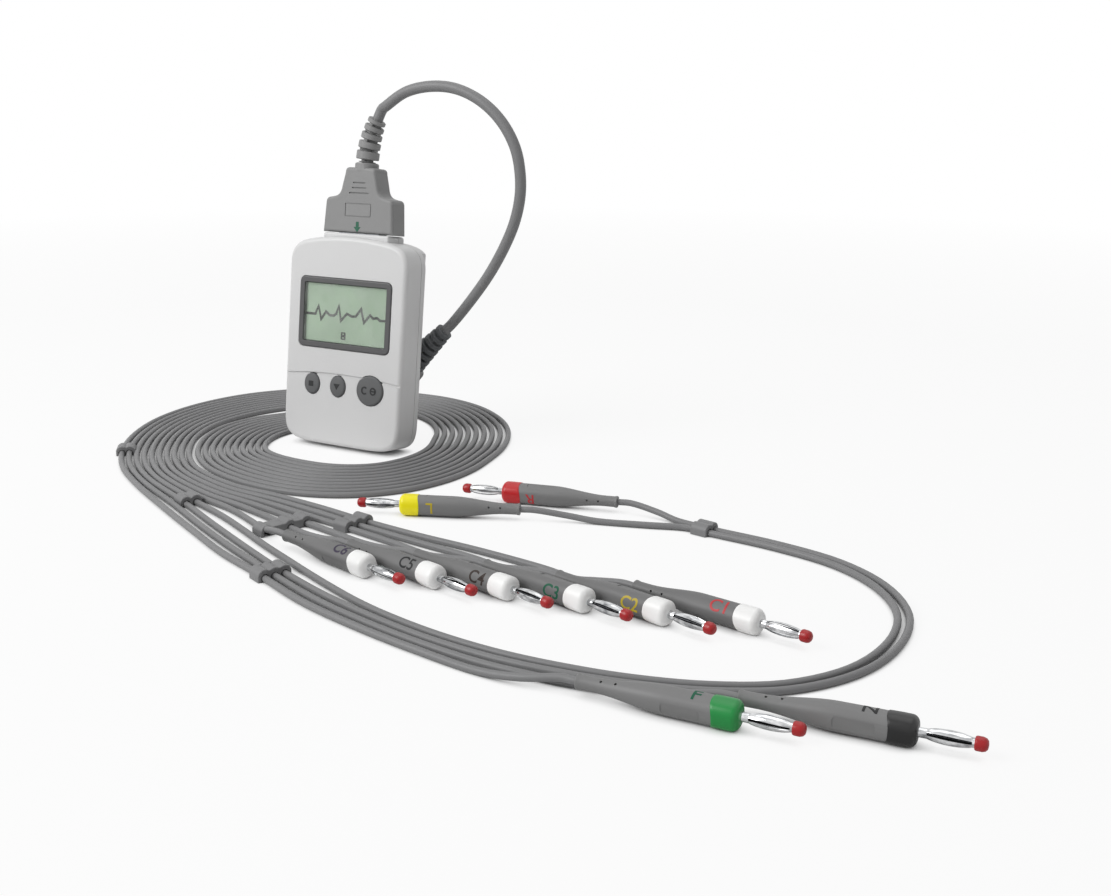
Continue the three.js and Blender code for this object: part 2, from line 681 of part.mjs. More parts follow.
// Straight edges between the bosses keep the mat and the board clear of them.
function keypadMat() {
  const bottom = KEY_ROW_HEIGHT - ROUND_KEY_HEIGHT / 2 - KEY_FLANGE;
  const top = KEY_ROW_HEIGHT + ROUND_KEY_HEIGHT / 2 + KEY_FLANGE;
  const half = SCREW_X - BOARD_SEAT_RADIUS - CLEARANCE;
  const outline = roundedRectangle(2 * half, top - bottom, 2, 0, (top + bottom) / 2);
  return slab(outline, MAT_FRONT, MAT_FRONT + MAT_THICKNESS, 0, 0, 2);
}

function mainBoard() {
  const half = CASE_WIDTH / 2 - WALL - BOARD_MARGIN;
  const top = CASE_HEIGHT - BOARD_TOP_DROP;
  const outline = roundedRectangle(2 * half, top - BOARD_BOTTOM, 3, 0, (top + BOARD_BOTTOM) / 2);
  let board = slab(outline, BOARD_FRONT, BOARD_BACK, 0, 0, 2);
  for (const [x, z] of SCREWS) {
    board = cut(board, cylinderAlongY(
      FRONT_BOSS_RADIUS + CLEARANCE, BOARD_FRONT - WALL, BOARD_BACK + WALL, x, z,
    ));
  }
  return board;
}

// A pressed can over the input amplifiers, open towards the board.
function shieldCan() {
  const front = BOARD_BACK + CLEARANCE;
  const skin = 0.4;
  const half = CAN_WIDTH / 2;
  const low = CAN_CENTRE_HEIGHT - CAN_HEIGHT / 2;
  const high = CAN_CENTRE_HEIGHT + CAN_HEIGHT / 2;
  return cut(
    block([-half, front, low], [half, front + CAN_DEPTH, high]),
    block([-half + skin, front - skin, low + skin], [half - skin, front + CAN_DEPTH - skin, high - skin]),
  );
}

// Cells lie across the bay; the upper one points to -X and the lower one to +X.
const CELL_HEIGHTS = [
  BAY_BOTTOM + CELL_ROOM + CELL_DIAMETER / 2,
  BAY_BOTTOM + 2 * CELL_ROOM + 1.5 * CELL_DIAMETER,
];

function cellGeometry() {
  const body = CELL_LENGTH - CELL_NUB_LENGTH;
  const profile = [
    [0, 0],
    [CELL_DIAMETER / 2 - 0.4, 0],
    [CELL_DIAMETER / 2, 0.4],
    [CELL_DIAMETER / 2, body - 0.4],
    [CELL_DIAMETER / 2 - 0.4, body],
    [CELL_NUB_RADIUS, body],
    [CELL_NUB_RADIUS, CELL_LENGTH],
    [0, CELL_LENGTH],
  ].map(([radius, height]) => new THREE.Vector2(radius, height));
  const geometry = new THREE.LatheGeometry(profile, 12);
  geometry.translate(0, -CELL_LENGTH / 2, 0);
  geometry.rotateZ(-Math.PI / 2);
  return geometry;
}

// Contact plates stand at the two ends of the bay: a spring cone meets a cell's flat end.
function contactPlate(side, heightLow, heightHigh, springHeights) {
  const inner = CONTACT_SPAN / 2;
  const [left, right] = side > 0
    ? [inner, inner + CONTACT_THICKNESS]
    : [-inner - CONTACT_THICKNESS, -inner];
  const front = BAY_FRONT + BAY_FLOOR + CLEARANCE;
  let plate = block([left, front, heightLow], [right, HOOK_FRONT - CLEARANCE, heightHigh]);
  for (const height of springHeights) {
    const spring = new THREE.CylinderGeometry(
      CONTACT_SPRING_RADIUS / 2, CONTACT_SPRING_RADIUS, CONTACT_SPRING + CONTACT_THICKNESS / 2, 10,
    );
    spring.rotateZ((side > 0 ? 1 : -1) * Math.PI / 2);
    const reach = inner + CONTACT_THICKNESS / 2 - (CONTACT_SPRING + CONTACT_THICKNESS / 2) / 2;
    spring.translate(side * reach, CELL_Y, height);
    plate = joined(plate, solidOf(spring));
  }
  return plate;
}

function contacts(parent) {
  const [lower, upper] = CELL_HEIGHTS;
  const half = CELL_DIAMETER / 2 - CELL_ROOM;
  piece('contact_bridge', contactPlate(-1, lower - half, upper + half, [lower]), materials.steel, parent);
  piece('contact_plus', contactPlate(1, lower - half, lower + half, []), materials.steel, parent);
  piece('contact_minus', contactPlate(1, upper - half, upper + half, [upper]), materials.steel, parent);
}

function cells(parent) {
  const [lower, upper] = CELL_HEIGHTS;
  const offset = CONTACT_SPRING / 2;
  const lowerCell = piece('cell_lower', cellGeometry(), materials.cell, parent);
  lowerCell.position.set(offset, CELL_Y, lower);
  const upperCell = piece('cell_upper', cellGeometry(), materials.cell, parent);
  upperCell.position.set(-offset, CELL_Y, upper);
  upperCell.rotation.z = Math.PI;
}

function caseScrewGeometry() {
  const seat = SCREW_SEAT + CLEARANCE;
  const tip = seat - SCREW_LENGTH + CLEARANCE * 2;
  const profile = [
    [0, tip],
    [SCREW_RADIUS * 0.5, tip],
    [SCREW_RADIUS, tip + 1],
    [SCREW_RADIUS, seat],
    [SCREW_HEAD_RADIUS, seat],
    [SCREW_HEAD_RADIUS, seat + SCREW_HEAD_THICKNESS * 0.6],
    [SCREW_HEAD_RADIUS * 0.7, seat + SCREW_HEAD_THICKNESS],
    [0, seat + SCREW_HEAD_THICKNESS],
  ].map(([radius, y]) => new THREE.Vector2(radius, y));
  return new THREE.LatheGeometry(profile, 8);
}

function screws(parent) {
  SCREWS.forEach(([x, z], number) => {
    const screw = piece(`case_screw_${number + 1}`, caseScrewGeometry(), materials.steel, parent);
    screw.position.set(x, 0, z);
  });
}

// The D-shaped shell of the connector: wider on its front side.
function shellOutline(grow) {
  const half = SHELL_WIDTH / 2 + grow;
  const deep = SHELL_DEPTH / 2 + grow;
  const slant = 1.2;
  return new THREE.Shape([
    new THREE.Vector2(SOCKET_X - half, -deep),
    new THREE.Vector2(SOCKET_X + half, -deep),
    new THREE.Vector2(SOCKET_X + half - slant, deep),
    new THREE.Vector2(SOCKET_X - half + slant, deep),
  ]);
}

function shellPrism(grow, low, high) {
  const geometry = new THREE.ExtrudeGeometry(shellOutline(grow), {
    depth: high - low, bevelEnabled: false,
  });
  geometry.translate(0, 0, low);
  return solidOf(geometry);
}

function leadSocket() {
  const half = SOCKET_WIDTH / 2;
  const body = block(
    [SOCKET_X - half, -SOCKET_DEPTH / 2, COLLAR_TOP - SOCKET_HEIGHT],
    [SOCKET_X + half, SOCKET_DEPTH / 2, COLLAR_TOP],
  );
  return cut(body, shellPrism(CLEARANCE, COLLAR_TOP - SHELL_REACH - CLEARANCE, COLLAR_TOP + WALL));
}

// A wide base with square shoulders, hollow curves up to a narrow neck, and a round step on top.
function connectorHood() {
  const base = HOOD_WIDTH / 2;
  const neck = HOOD_NECK_WIDTH / 2;
  const flare = neck + HOOD_NECK_FLARE;
  const top = HOOD_TOP_WIDTH / 2;
  const shoulder = HOOD_BOTTOM + HOOD_BASE_HEIGHT;
  const neckTop = HOOD_TOP - HOOD_STEP_HEIGHT;
  const shape = new THREE.Shape();
  shape.moveTo(SOCKET_X - base, HOOD_BOTTOM);
  shape.lineTo(SOCKET_X + base, HOOD_BOTTOM);
  shape.lineTo(SOCKET_X + base - 1, shoulder - 3);
  shape.quadraticCurveTo(SOCKET_X + base - 1.1, shoulder, SOCKET_X + base - 4, shoulder);
  shape.lineTo(SOCKET_X + flare + 4.4, shoulder + 0.5);
  shape.quadraticCurveTo(SOCKET_X + flare + 0.6, shoulder + 1.3, SOCKET_X + flare, shoulder + 5.8);
  shape.lineTo(SOCKET_X + neck, neckTop - 2.5);
  shape.quadraticCurveTo(SOCKET_X + neck, neckTop, SOCKET_X + top, neckTop);
  shape.lineTo(SOCKET_X - top, neckTop);
  shape.quadraticCurveTo(SOCKET_X - neck, neckTop, SOCKET_X - neck, neckTop - 2.5);
  shape.lineTo(SOCKET_X - flare, shoulder + 5.8);
  shape.quadraticCurveTo(SOCKET_X - flare - 0.6, shoulder + 1.3, SOCKET_X - flare - 4.4, shoulder + 0.5);
  shape.lineTo(SOCKET_X - base + 4, shoulder);
  shape.quadraticCurveTo(SOCKET_X - base + 1.1, shoulder, SOCKET_X - base + 1, shoulder - 3);
  const body = slab(shape, -HOOD_DEPTH / 2, HOOD_DEPTH / 2, HOOD_ROUNDING, 2, 3);
  const step = new THREE.CylinderGeometry(
    HOOD_STEP_RADIUS, HOOD_STEP_RADIUS, HOOD_STEP_HEIGHT + HOOD_ROUNDING, 12,
  );
  step.rotateX(Math.PI / 2);
  step.translate(SOCKET_X, 0, HOOD_TOP - (HOOD_STEP_HEIGHT + HOOD_ROUNDING) / 2);
  const shellRoom = shellPrism(CLEARANCE, HOOD_BOTTOM - WALL, HOOD_BOTTOM + SHELL_ROOT + CLEARANCE);
  return cut(joined(body, solidOf(step)), shellRoom);
}

function connectorShell() {
  return shellPrism(0, COLLAR_TOP - SHELL_REACH, HOOD_BOTTOM + SHELL_ROOT);
}

// One ring in each rib stands proud of a body that tapers down to the cable.
function bootRadii(startRadius) {
  const rings = BOOT_RIBS * RINGS_PER_RIB;
  return Array.from({ length: rings + 1 }, (_, ring) => {
    const body = THREE.MathUtils.lerp(startRadius, BOOT_END_RADIUS, ring / rings);
    return ring % RINGS_PER_RIB === 1 ? body + RIB_RISE : body;
  });
}

// Upright frame of the hand unit, leaned back about X.
const handUnit = new THREE.Group();
handUnit.rotation.x = -LEAN;

piece('front_shell', frontShell(), materials.whiteShell, handUnit);
piece('rear_shell', rearShell(), materials.whiteShell, handUnit);
piece('battery_door', batteryDoor(), materials.whiteShell, handUnit);
piece('window_bezel', windowBezel(), materials.bezel, handUnit);
piece('window_lens', windowLens(), materials.lens, handUnit);
piece('lcd_panel', lcdPanel(), materials.display, handUnit);
KEYS.forEach((key) => piece(key.name, keyCap(key), materials.key, handUnit));
piece('keypad_mat', keypadMat(), materials.key, handUnit);
piece('main_board', mainBoard(), materials.board, handUnit);
piece('shield_can', shieldCan(), materials.steel, handUnit);
piece('lead_socket', leadSocket(), materials.socket, handUnit);
cells(handUnit);
contacts(handUnit);
screws(handUnit);

// The leaned unit stands on the floor, and the origin lies under the middle of its box.
handUnit.updateMatrixWorld(true);
const unitBox = new THREE.Box3().setFromObject(handUnit, true);
handUnit.position.z = -unitBox.min.z;

// The connector, its boot and the junction box share the lean.
piece('connector_shell', connectorShell(), materials.steel, handUnit);
piece('connector_hood', connectorHood(), materials.greyCable, handUnit);
const hoodBootStart = new THREE.Vector3(SOCKET_X, 0, HOOD_TOP + CLEARANCE);
const hoodBootEnd = new THREE.Vector3(SOCKET_X + HOOD_BOOT_END[0], 0, HOOD_TOP + HOOD_BOOT_END[1]);
const hoodBootBend = new THREE.Vector3(SOCKET_X + HOOD_BOOT_BEND[0], 0, HOOD_TOP + HOOD_BOOT_BEND[1]);
const hoodBootCurve = new THREE.QuadraticBezierCurve3(hoodBootStart, hoodBootBend, hoodBootEnd);
const hoodBoot = taperedTube(hoodBootCurve, bootRadii(HOOD_BOOT_RADIUS), BOOT_SIDES);
piece('connector_boot', hoodBoot, materials.greyCable, handUnit);

const junction = new THREE.Group();
junction.position.set(JUNCTION_TOP[0], BACK + 2 * CLEARANCE + JUNCTION_THICKNESS / 2, JUNCTION_TOP[1]);
junction.rotation.y = -JUNCTION_SLANT;
handUnit.add(junction);

// Places of the ten lead exits in the junction's own frame: two rows, and leads 9 and 4 the lowest.
function leadExit(lead) {
  const row = lead < LEADS_PER_ROW ? 1 : 0;
  const place = LEADS_PER_ROW - 1 - (lead % LEADS_PER_ROW);
  const across = (place - (LEADS_PER_ROW - 1) / 2) * LEAD_PITCH;
  return new THREE.Vector3(-JUNCTION_LENGTH - COLLET_LENGTH, (row - 0.5) * LEAD_ROW_PITCH, across);
}

// Seen from the front: wide where the leads leave, and drawn in towards the trunk cable.
function junctionOutline() {
  const half = JUNCTION_WIDTH / 2;
  const end = JUNCTION_END_WIDTH / 2;
  const corner = JUNCTION_CORNER;
  const shape = new THREE.Shape();
  shape.moveTo(corner - JUNCTION_LENGTH, -half);
  shape.lineTo(-JUNCTION_TAPER, -half);
  shape.bezierCurveTo(-0.6 * JUNCTION_TAPER, -half, -0.4 * JUNCTION_TAPER, -end, -end / 2, -end);
  shape.quadraticCurveTo(0, -end, 0, -end / 2);
  shape.lineTo(0, end / 2);
  shape.quadraticCurveTo(0, end, -end / 2, end);
  shape.bezierCurveTo(-0.4 * JUNCTION_TAPER, end, -0.6 * JUNCTION_TAPER, half, -JUNCTION_TAPER, half);
  shape.lineTo(corner - JUNCTION_LENGTH, half);
  shape.absarc(corner - JUNCTION_LENGTH, half - corner, corner, Math.PI / 2, Math.PI);
  shape.lineTo(-JUNCTION_LENGTH, corner - half);
  shape.absarc(corner - JUNCTION_LENGTH, corner - half, corner, Math.PI, 1.5 * Math.PI);
  return shape;
}

function junctionBox() {
  const outline = junctionOutline();
  let box = slab(
    outline, -JUNCTION_THICKNESS / 2, JUNCTION_THICKNESS / 2, JUNCTION_ROUNDING, 2, 3,
  );
  for (let lead = 0; lead < 2 * LEADS_PER_ROW; lead += 1) {
    const exit = leadExit(lead);
    const length = COLLET_LENGTH + JUNCTION_CORNER;
    const collet = new THREE.CylinderGeometry(COLLET_RADIUS, COLLET_RADIUS, length, 6);
    collet.rotateZ(Math.PI / 2);
    collet.translate(exit.x + length / 2, exit.y, exit.z);
    box = joined(box, solidOf(collet));
  }
  return box;
}

piece('junction_box', junctionBox(), materials.greyCable, junction);
const junctionBootCurve = new THREE.LineCurve3(
  new THREE.Vector3(CLEARANCE, 0, 0),
  new THREE.Vector3(JUNCTION_BOOT_LENGTH, 0, 0),
);
const junctionBoot = taperedTube(junctionBootCurve, bootRadii(JUNCTION_BOOT_RADIUS), BOOT_SIDES);
piece('junction_boot', junctionBoot, materials.darkBoot, junction);
handUnit.updateMatrixWorld(true);

// Free cords lie in the frame of the floor.
const layout = new THREE.Group();
layout.add(handUnit);

const inUnit = (point) => point.clone().applyMatrix4(handUnit.matrixWorld);
const inJunction = (point) => point.clone().applyMatrix4(junction.matrixWorld);

// Trunk cable: an arch in the air from the connector's boot to the junction's boot.
const TRUNK_MIDDLE = [
  [13, 23, 172], [25, 23.3, 178.8], [40.3, 23.6, 181.6], [54.8, 24, 180.3], [68.9, 24.2, 174.3],
  [79.8, 24.4, 164.9], [86.8, 24.5, 153.3], [89.3, 24.6, 141.6], [89.1, 24.7, 130.8],
  [86, 24.8, 118.6], [80, 24.9, 106.1], [70.9, 25, 91.8], [60.1, 25.1, 78.3],
];

// A straight start or end of a cord: one point just clear of what it meets, one a few steps away.
function straightEnd(point, direction, distance) {
  const unit = direction.clone().normalize();
  return [
    point.clone().addScaledVector(unit, CLEARANCE),
    point.clone().addScaledVector(unit, CLEARANCE + distance),
  ];
}

function sectionShape(diameter, sides) {
  const points = Array.from({ length: sides }, (_, side) => {
    const angle = ((side + 0.5) / sides) * 2 * Math.PI;
    return new THREE.Vector2(Math.cos(angle) * diameter / 2, Math.sin(angle) * diameter / 2);
  });
  return new THREE.Shape(points);
}

function cordTube(curve, diameter, sides, steps) {
  return new THREE.ExtrudeGeometry(sectionShape(diameter, sides), {
    steps, bevelEnabled: false, extrudePath: curve,
  });
}

function trunkCurve() {
  const start = inUnit(hoodBootEnd);
  const startWay = start.clone().sub(inUnit(hoodBootBend));
  const end = inJunction(new THREE.Vector3(JUNCTION_BOOT_LENGTH, 0, 0));
  const endWay = end.clone().sub(inJunction(new THREE.Vector3(0, 0, 0)));
  const head = straightEnd(start, startWay, TRUNK_DIAMETER);
  const tail = straightEnd(end, endWay, TRUNK_DIAMETER).reverse();
  const middle = TRUNK_MIDDLE.map((point) => new THREE.Vector3(...point));
  return new THREE.CatmullRomCurve3([...head, ...middle, ...tail], false, 'centripetal');
}

const trunk = trunkCurve();
piece(
  'trunk_cable', cordTube(trunk, TRUNK_DIAMETER, TRUNK_SIDES, TRUNK_STEPS), materials.greyCable, layout,
);

// The lead coil: each station is an angle about the coil's middle, seen from above, and the distance
// of the innermost and the outermost lead from that middle.
const COIL_CENTRE = [0, 2];
const COIL_STATIONS = [
  [156, 41, 74], [180, 44, 81], [225, 45.5, 79], [252, 43, 80], [270, 42, 82.5], [300, 45, 90],
  [318, 46.5, 90.5], [342, 44.5, 85], [365, 42.5, 79], [395, 42, 81], [425, 50, 90],
  [450, 61, 101], [478, 74, 112], [505, 87, 128], [520, 89, 130.5], [540, 89, 127.5],
  [555, 87, 122.5], [578, 83.5, 117], [600, 84, 116], [612, 85.2, 117.5],
];
const COIL_STEP = 15;
const COIL_START = 156;
const COIL_END = 612;

// Smooth value between the stations of the coil, for the innermost (1) or outermost (2) lead.
function coilRadius(angle, column) {
  const next = Math.max(1, COIL_STATIONS.findIndex((station) => station[0] >= angle));
  const before = COIL_STATIONS[next - 1];
  const after = COIL_STATIONS[next];
  const share = THREE.MathUtils.smoothstep(angle, before[0], after[0]);
  return THREE.MathUtils.lerp(before[column], after[column], share);
}

const LEAD_HEIGHT = LEAD_DIAMETER / 2 + FLOOR_ROOM;
const LEAD_COUNT = 2 * LEADS_PER_ROW;

// Lead 0 is the outermost, lead 9 the innermost.
function coilPoints(lead) {
  const points = [];
  for (let angle = COIL_START; angle <= COIL_END; angle += COIL_STEP) {
    const inner = coilRadius(angle, 1);
    const outer = coilRadius(angle, 2);
    const radius = THREE.MathUtils.lerp(outer, inner, lead / (LEAD_COUNT - 1));
    points.push(new THREE.Vector3(
      COIL_CENTRE[0] + radius * Math.cos(angle * DEGREE),
      COIL_CENTRE[1] + radius * Math.sin(angle * DEGREE),
      LEAD_HEIGHT,
    ));
  }
  return points;
}

// The fan between the junction box and the coil. Its gates lie on the way of the innermost lead,
// which runs to the left behind the hand unit and then turns round a middle of its own.
const FAN_RADIUS = 10;
const FAN_STRAIGHT_GATES = [0.3, 0.55, 0.8];
const FAN_TURN_GATES = [90, 112, 134];
const FAN_ROOM = 4;
const FAN_SAG = [0.3, 1.1];
const FAN_SPREAD = [2.6, 3.4];

function fanGates() {
  const start = inJunction(leadExit(LEAD_COUNT - 1));
  const out = coilRadius(COIL_START, 1) - FAN_RADIUS;
  const middle = [
    COIL_CENTRE[0] + out * Math.cos(COIL_START * DEGREE),
    COIL_CENTRE[1] + out * Math.sin(COIL_START * DEGREE),
  ];
  const straight = start.x - middle[0];
  const gates = FAN_STRAIGHT_GATES.map((share) => ({
    at: [
      start.x - share * straight,
      THREE.MathUtils.lerp(start.y, middle[1] + FAN_RADIUS, THREE.MathUtils.smoothstep(share, 0, 1)),
    ],
    right: [0, 1],
    travelled: share * straight,
  }));
  FAN_TURN_GATES.forEach((angle) => {
    const right = [Math.cos(angle * DEGREE), Math.sin(angle * DEGREE)];
    gates.push({
      at: [middle[0] + FAN_RADIUS * right[0], middle[1] + FAN_RADIUS * right[1]],
      right,
      travelled: straight + FAN_RADIUS * (angle - 90) * DEGREE,
    });
  });
  const whole = straight + FAN_RADIUS * (COIL_START - 90) * DEGREE;
  return { gates, start, whole };
}

// A lead drops to the floor and moves out to its own lane of the coil while it passes the gates.
// The lowest pair drops first and the highest last, so a lead passes over the pair below its own.
function fanPoints(lead) {
  const { gates, start, whole } = fanGates();
  const exit = inJunction(leadExit(lead));
  const before = start.x - exit.x;
  const lanePitch = (coilRadius(COIL_START, 2) - coilRadius(COIL_START, 1)) / (LEAD_COUNT - 1);
  const lane = (LEAD_COUNT - 1 - lead) * lanePitch;
  const depth = (lead % LEADS_PER_ROW) / (LEADS_PER_ROW - 1);
  const sag = THREE.MathUtils.lerp(FAN_SAG[1], FAN_SAG[0], depth);
  const spread = THREE.MathUtils.lerp(FAN_SPREAD[0], FAN_SPREAD[1], depth);
  const ahead = gates.filter(({ travelled }) => travelled > before + FAN_ROOM);
  return ahead.map(({ at, right, travelled }) => {
    const share = (travelled - before) / (whole - before);
    const left = 1 - share;
    const aside = THREE.MathUtils.lerp(lane, exit.y - start.y, left ** spread);
    const height = LEAD_HEIGHT + (exit.z - LEAD_HEIGHT) * left ** 2 * (1 + sag * share);
    return new THREE.Vector3(at[0] + right[0] * aside, at[1] + right[1] * aside, height);
  });
}

// Plugs: tip place on the floor and heading in degrees, in the order of the leads.
const CHEST_ROW_TIP = [141.9, -152.6];
const CHEST_ROW_STEP = [30, 3.5];
const CHEST_ROW_HEADING = -14;
const chestTip = (place) => CHEST_ROW_TIP.map((start, axis) => start + place * CHEST_ROW_STEP[axis]);
const LEADS = [
  { name: 'F', tip: [312.4, -192.2], heading: 3 },
  { name: 'N', tip: [360.4, -175.6], heading: 5 },
  { name: 'R', tip: [99.2, -45.3], heading: 192.5 },
  { name: 'L', tip: [69.8, -85.7], heading: 201.1 },
  { name: 'C6', tip: chestTip(0), heading: CHEST_ROW_HEADING },
  { name: 'C5', tip: chestTip(1), heading: CHEST_ROW_HEADING },
  { name: 'C4', tip: chestTip(2), heading: CHEST_ROW_HEADING },
  { name: 'C3', tip: chestTip(3), heading: CHEST_ROW_HEADING },
  { name: 'C2', tip: chestTip(4), heading: CHEST_ROW_HEADING },
  { name: 'C1', tip: [292.8, -128.8], heading: -10 },
];

// Joiners hold leads side by side: middle of the clip, heading and the spacing of its leads.
const JOINERS = {
  joiner_limb: { at: [87, -164.3], heading: -22.5, pitch: 4.3, lanes: [0, 1, 2] },
  joiner_arm: { at: [214, -36.2], heading: 171, pitch: 4.3, lanes: [2, 3] },
};

// The two points of a lead at the ends of a joiner that it runs through.
function throughJoiner(name, lead) {
  const { at, heading, pitch, lanes } = JOINERS[name];
  const along = new THREE.Vector2(Math.cos(heading * DEGREE), Math.sin(heading * DEGREE));
  const right = new THREE.Vector2(along.y, -along.x);
  const offset = ((lanes.length - 1) / 2 - lanes.indexOf(lead)) * pitch;
  const half = JOINER_LENGTH / 2 + LEAD_DIAMETER / 2;
  return [-half, half].map((step) => [
    at[0] + along.x * step + right.x * offset,
    at[1] + along.y * step + right.y * offset,
  ]);
}

// The arm leads share one wide loop: its middle line, with each lead half a pitch to one side.
const ARM_LOOP = [
  [252, -181.5], [275, -174.2], [296, -161.5], [311, -140], [316.5, -113], [312.5, -86],
  [298, -63.5], [277, -48.5], [249, -40.6],
];
const ARM_LOOP_PITCH = 4.2;

function besideLoop(side) {
  return ARM_LOOP.map(([x, y], place) => {
    const before = ARM_LOOP[Math.max(0, place - 1)];
    const after = ARM_LOOP[Math.min(ARM_LOOP.length - 1, place + 1)];
    const length = Math.hypot(after[0] - before[0], after[1] - before[1]);
    const outward = [(after[1] - before[1]) / length, -(after[0] - before[0]) / length];
    return [x + outward[0] * side * ARM_LOOP_PITCH / 2, y + outward[1] * side * ARM_LOOP_PITCH / 2];
  });
}

// Hand-laid stretch of each lead from the coil to its plug: x, y and, off the floor, z.
const LEAD_RUNS = [
  [
    [-7, -126], [26, -142.5], [56, -157], ...throughJoiner('joiner_limb', 0), [118, -181.5],
    [150, -190], [178, -195.5], [205, -199.2], [221, -199, 3],
  ],
  [
    [-5.7, -121], [25, -136.5], [57, -151.6], ...throughJoiner('joiner_limb', 1), [119, -177],
    [151, -185.7], [178, -190.9], [205, -193.9], [232, -192.6], [255.5, -188.3], [269, -185.4, 3],
  ],
  [
    [-4.7, -116.2], [25, -130.9], [58, -146.6], ...throughJoiner('joiner_limb', 2), [120.5, -172.4],
    [152, -181.2], [178, -186.4], [205, -188.7], [230, -187.3], ...besideLoop(1),
    ...throughJoiner('joiner_arm', 2), [199.5, -31], [189.5, -28.8, 3],
  ],
  [
    [-4.2, -111.4], [23, -121.8], [45, -132], [64, -141.3], [86, -151.2], [102, -158.3],
    [118, -165], [135, -171.5], [153, -176.8], [178, -181.9], [205, -184.2], [230, -182.9],
    ...besideLoop(-1), ...throughJoiner('joiner_arm', 3), [190, -43], [170, -48.6],
    [157, -52.2, 3],
  ],
  [[-4, -106.6], [20, -113], [39, -121], [52, -128.6, 2.8]],
  [[-3.6, -102.4], [22, -108], [46, -114.8], [67.5, -122], [81.7, -126.6, 2.8]],
  [[-3.2, -98.4], [24, -103.2], [50, -108.9], [76, -114.8], [97.5, -120], [111.7, -123.7, 2.8]],
  [
    [-2.8, -94.4], [26, -98.4], [54, -103.2], [82, -108.3], [110, -114], [130, -118.6],
    [141.7, -120.1, 2.8],
  ],
  [
    [-2.4, -90.4], [27, -93.6], [56, -97.9], [82, -102.9], [112, -107.6], [145, -112.2],
    [163, -115.8], [172.7, -116.8, 2.8],
  ],
  [
    [-2, -86.4], [28, -88.8], [56, -92.6], [82, -97.5], [112, -101.5], [145, -104.3],
    [178, -109], [194, -112.8], [202.7, -113.6, 2.8],
  ],
];

const PLUG_AXIS_HEIGHT = CAP_HALF + FLOOR_ROOM;

function plugTail({ tip, heading }) {
  return new THREE.Vector3(
    tip[0] - PLUG_LENGTH * Math.cos(heading * DEGREE),
    tip[1] - PLUG_LENGTH * Math.sin(heading * DEGREE),
    PLUG_AXIS_HEIGHT,
  );
}

// Steps of the tube follow the route's own points, so neighbouring leads bend at the same places.
class LeadRoute extends THREE.CatmullRomCurve3 {
  getUtoTmapping(u) {
    return u;
  }
}

function leadRoute(lead) {
  const exit = inJunction(leadExit(lead));
  const exitWay = exit.clone().sub(inJunction(leadExit(lead).add(new THREE.Vector3(1, 0, 0))));
  const tail = plugTail(LEADS[lead]);
  const heading = LEADS[lead].heading * DEGREE;
  const tailWay = new THREE.Vector3(-Math.cos(heading), -Math.sin(heading), 0);
  const run = LEAD_RUNS[lead].map(([x, y, z = LEAD_HEIGHT]) => new THREE.Vector3(x, y, z));
  return new LeadRoute([
    ...straightEnd(exit, exitWay, LEAD_DIAMETER),
    ...fanPoints(lead),
    ...coilPoints(lead),
    ...run,
    ...straightEnd(tail, tailWay, 2 * LEAD_DIAMETER).reverse(),
  ], false, 'centripetal');
}

const routes = LEADS.map((_, lead) => leadRoute(lead));
LEADS.forEach((lead, number) => {
  const route = routes[number];
  const tube = cordTube(route, LEAD_DIAMETER, LEAD_SIDES, route.points.length - 1);
  piece(`lead_${lead.name}`, tube, materials.greyCable, layout);
});

// Least clear gap between the turns of the leads, measured on their route points.
function leastGap(lead) {
  const own = routes[lead].points;
  let least = Infinity;
  own.forEach((point, place) => {
    for (let other = place + 12; other < own.length; other += 1) {
      least = Math.min(least, point.distanceTo(own[other]) - LEAD_DIAMETER);
    }
  });
  return least;
}

const tightest = Math.min(...LEADS.map((_, lead) => leastGap(lead)));
console.log(`least gap of a lead to itself: ${tightest.toFixed(2)} mm`);

// Plug handle: sections of rounded squares that swell from the round tail to the cap.
function sectionRing(x, half, power) {
  const sides = 12;
  return Array.from({ length: sides }, (_, side) => {
    const angle = (side / sides) * 2 * Math.PI;
    const round = (value) => Math.sign(value) * Math.abs(value) ** (2 / power);
    return new THREE.Vector3(x, half * round(Math.cos(angle)), half * round(Math.sin(angle)));
  });
}

function plugBody() {
  const capFront = -PIN_LENGTH;
  const capBack = capFront - CAP_LENGTH;
  const tail = -PLUG_LENGTH;
  const grown = (share) => THREE.MathUtils.lerp(TAIL_RADIUS, HANDLE_HALF, share);
  const rings = [
    sectionRing(tail, TAIL_RADIUS, 2),
    sectionRing(tail + TAIL_LENGTH, TAIL_RADIUS, 2),
    sectionRing(tail + TAIL_LENGTH + 0.3 * TAPER_LENGTH, grown(0.25), 2.4),
    sectionRing(tail + TAIL_LENGTH + 0.65 * TAPER_LENGTH, grown(0.75), 3.2),
    sectionRing(tail + TAIL_LENGTH + TAPER_LENGTH, HANDLE_HALF, 4),
    sectionRing(capBack, HANDLE_HALF, 4),
    sectionRing(capBack, CAP_HALF, 4),
    sectionRing(capFront - 1.5, CAP_HALF, 4),
    sectionRing(capFront, CAP_HALF - 1.2, 4),
  ];
  const bore = new THREE.CylinderGeometry(
    PIN_NECK_RADIUS + CLEARANCE, PIN_NECK_RADIUS + CLEARANCE, PIN_ROOT + 2, 8,
  );
  bore.rotateZ(Math.PI / 2);
  bore.translate(capFront - PIN_ROOT - CLEARANCE + (PIN_ROOT + 2) / 2, 0, 0);
  return cut(solidOf(loft(rings)), solidOf(bore));
}

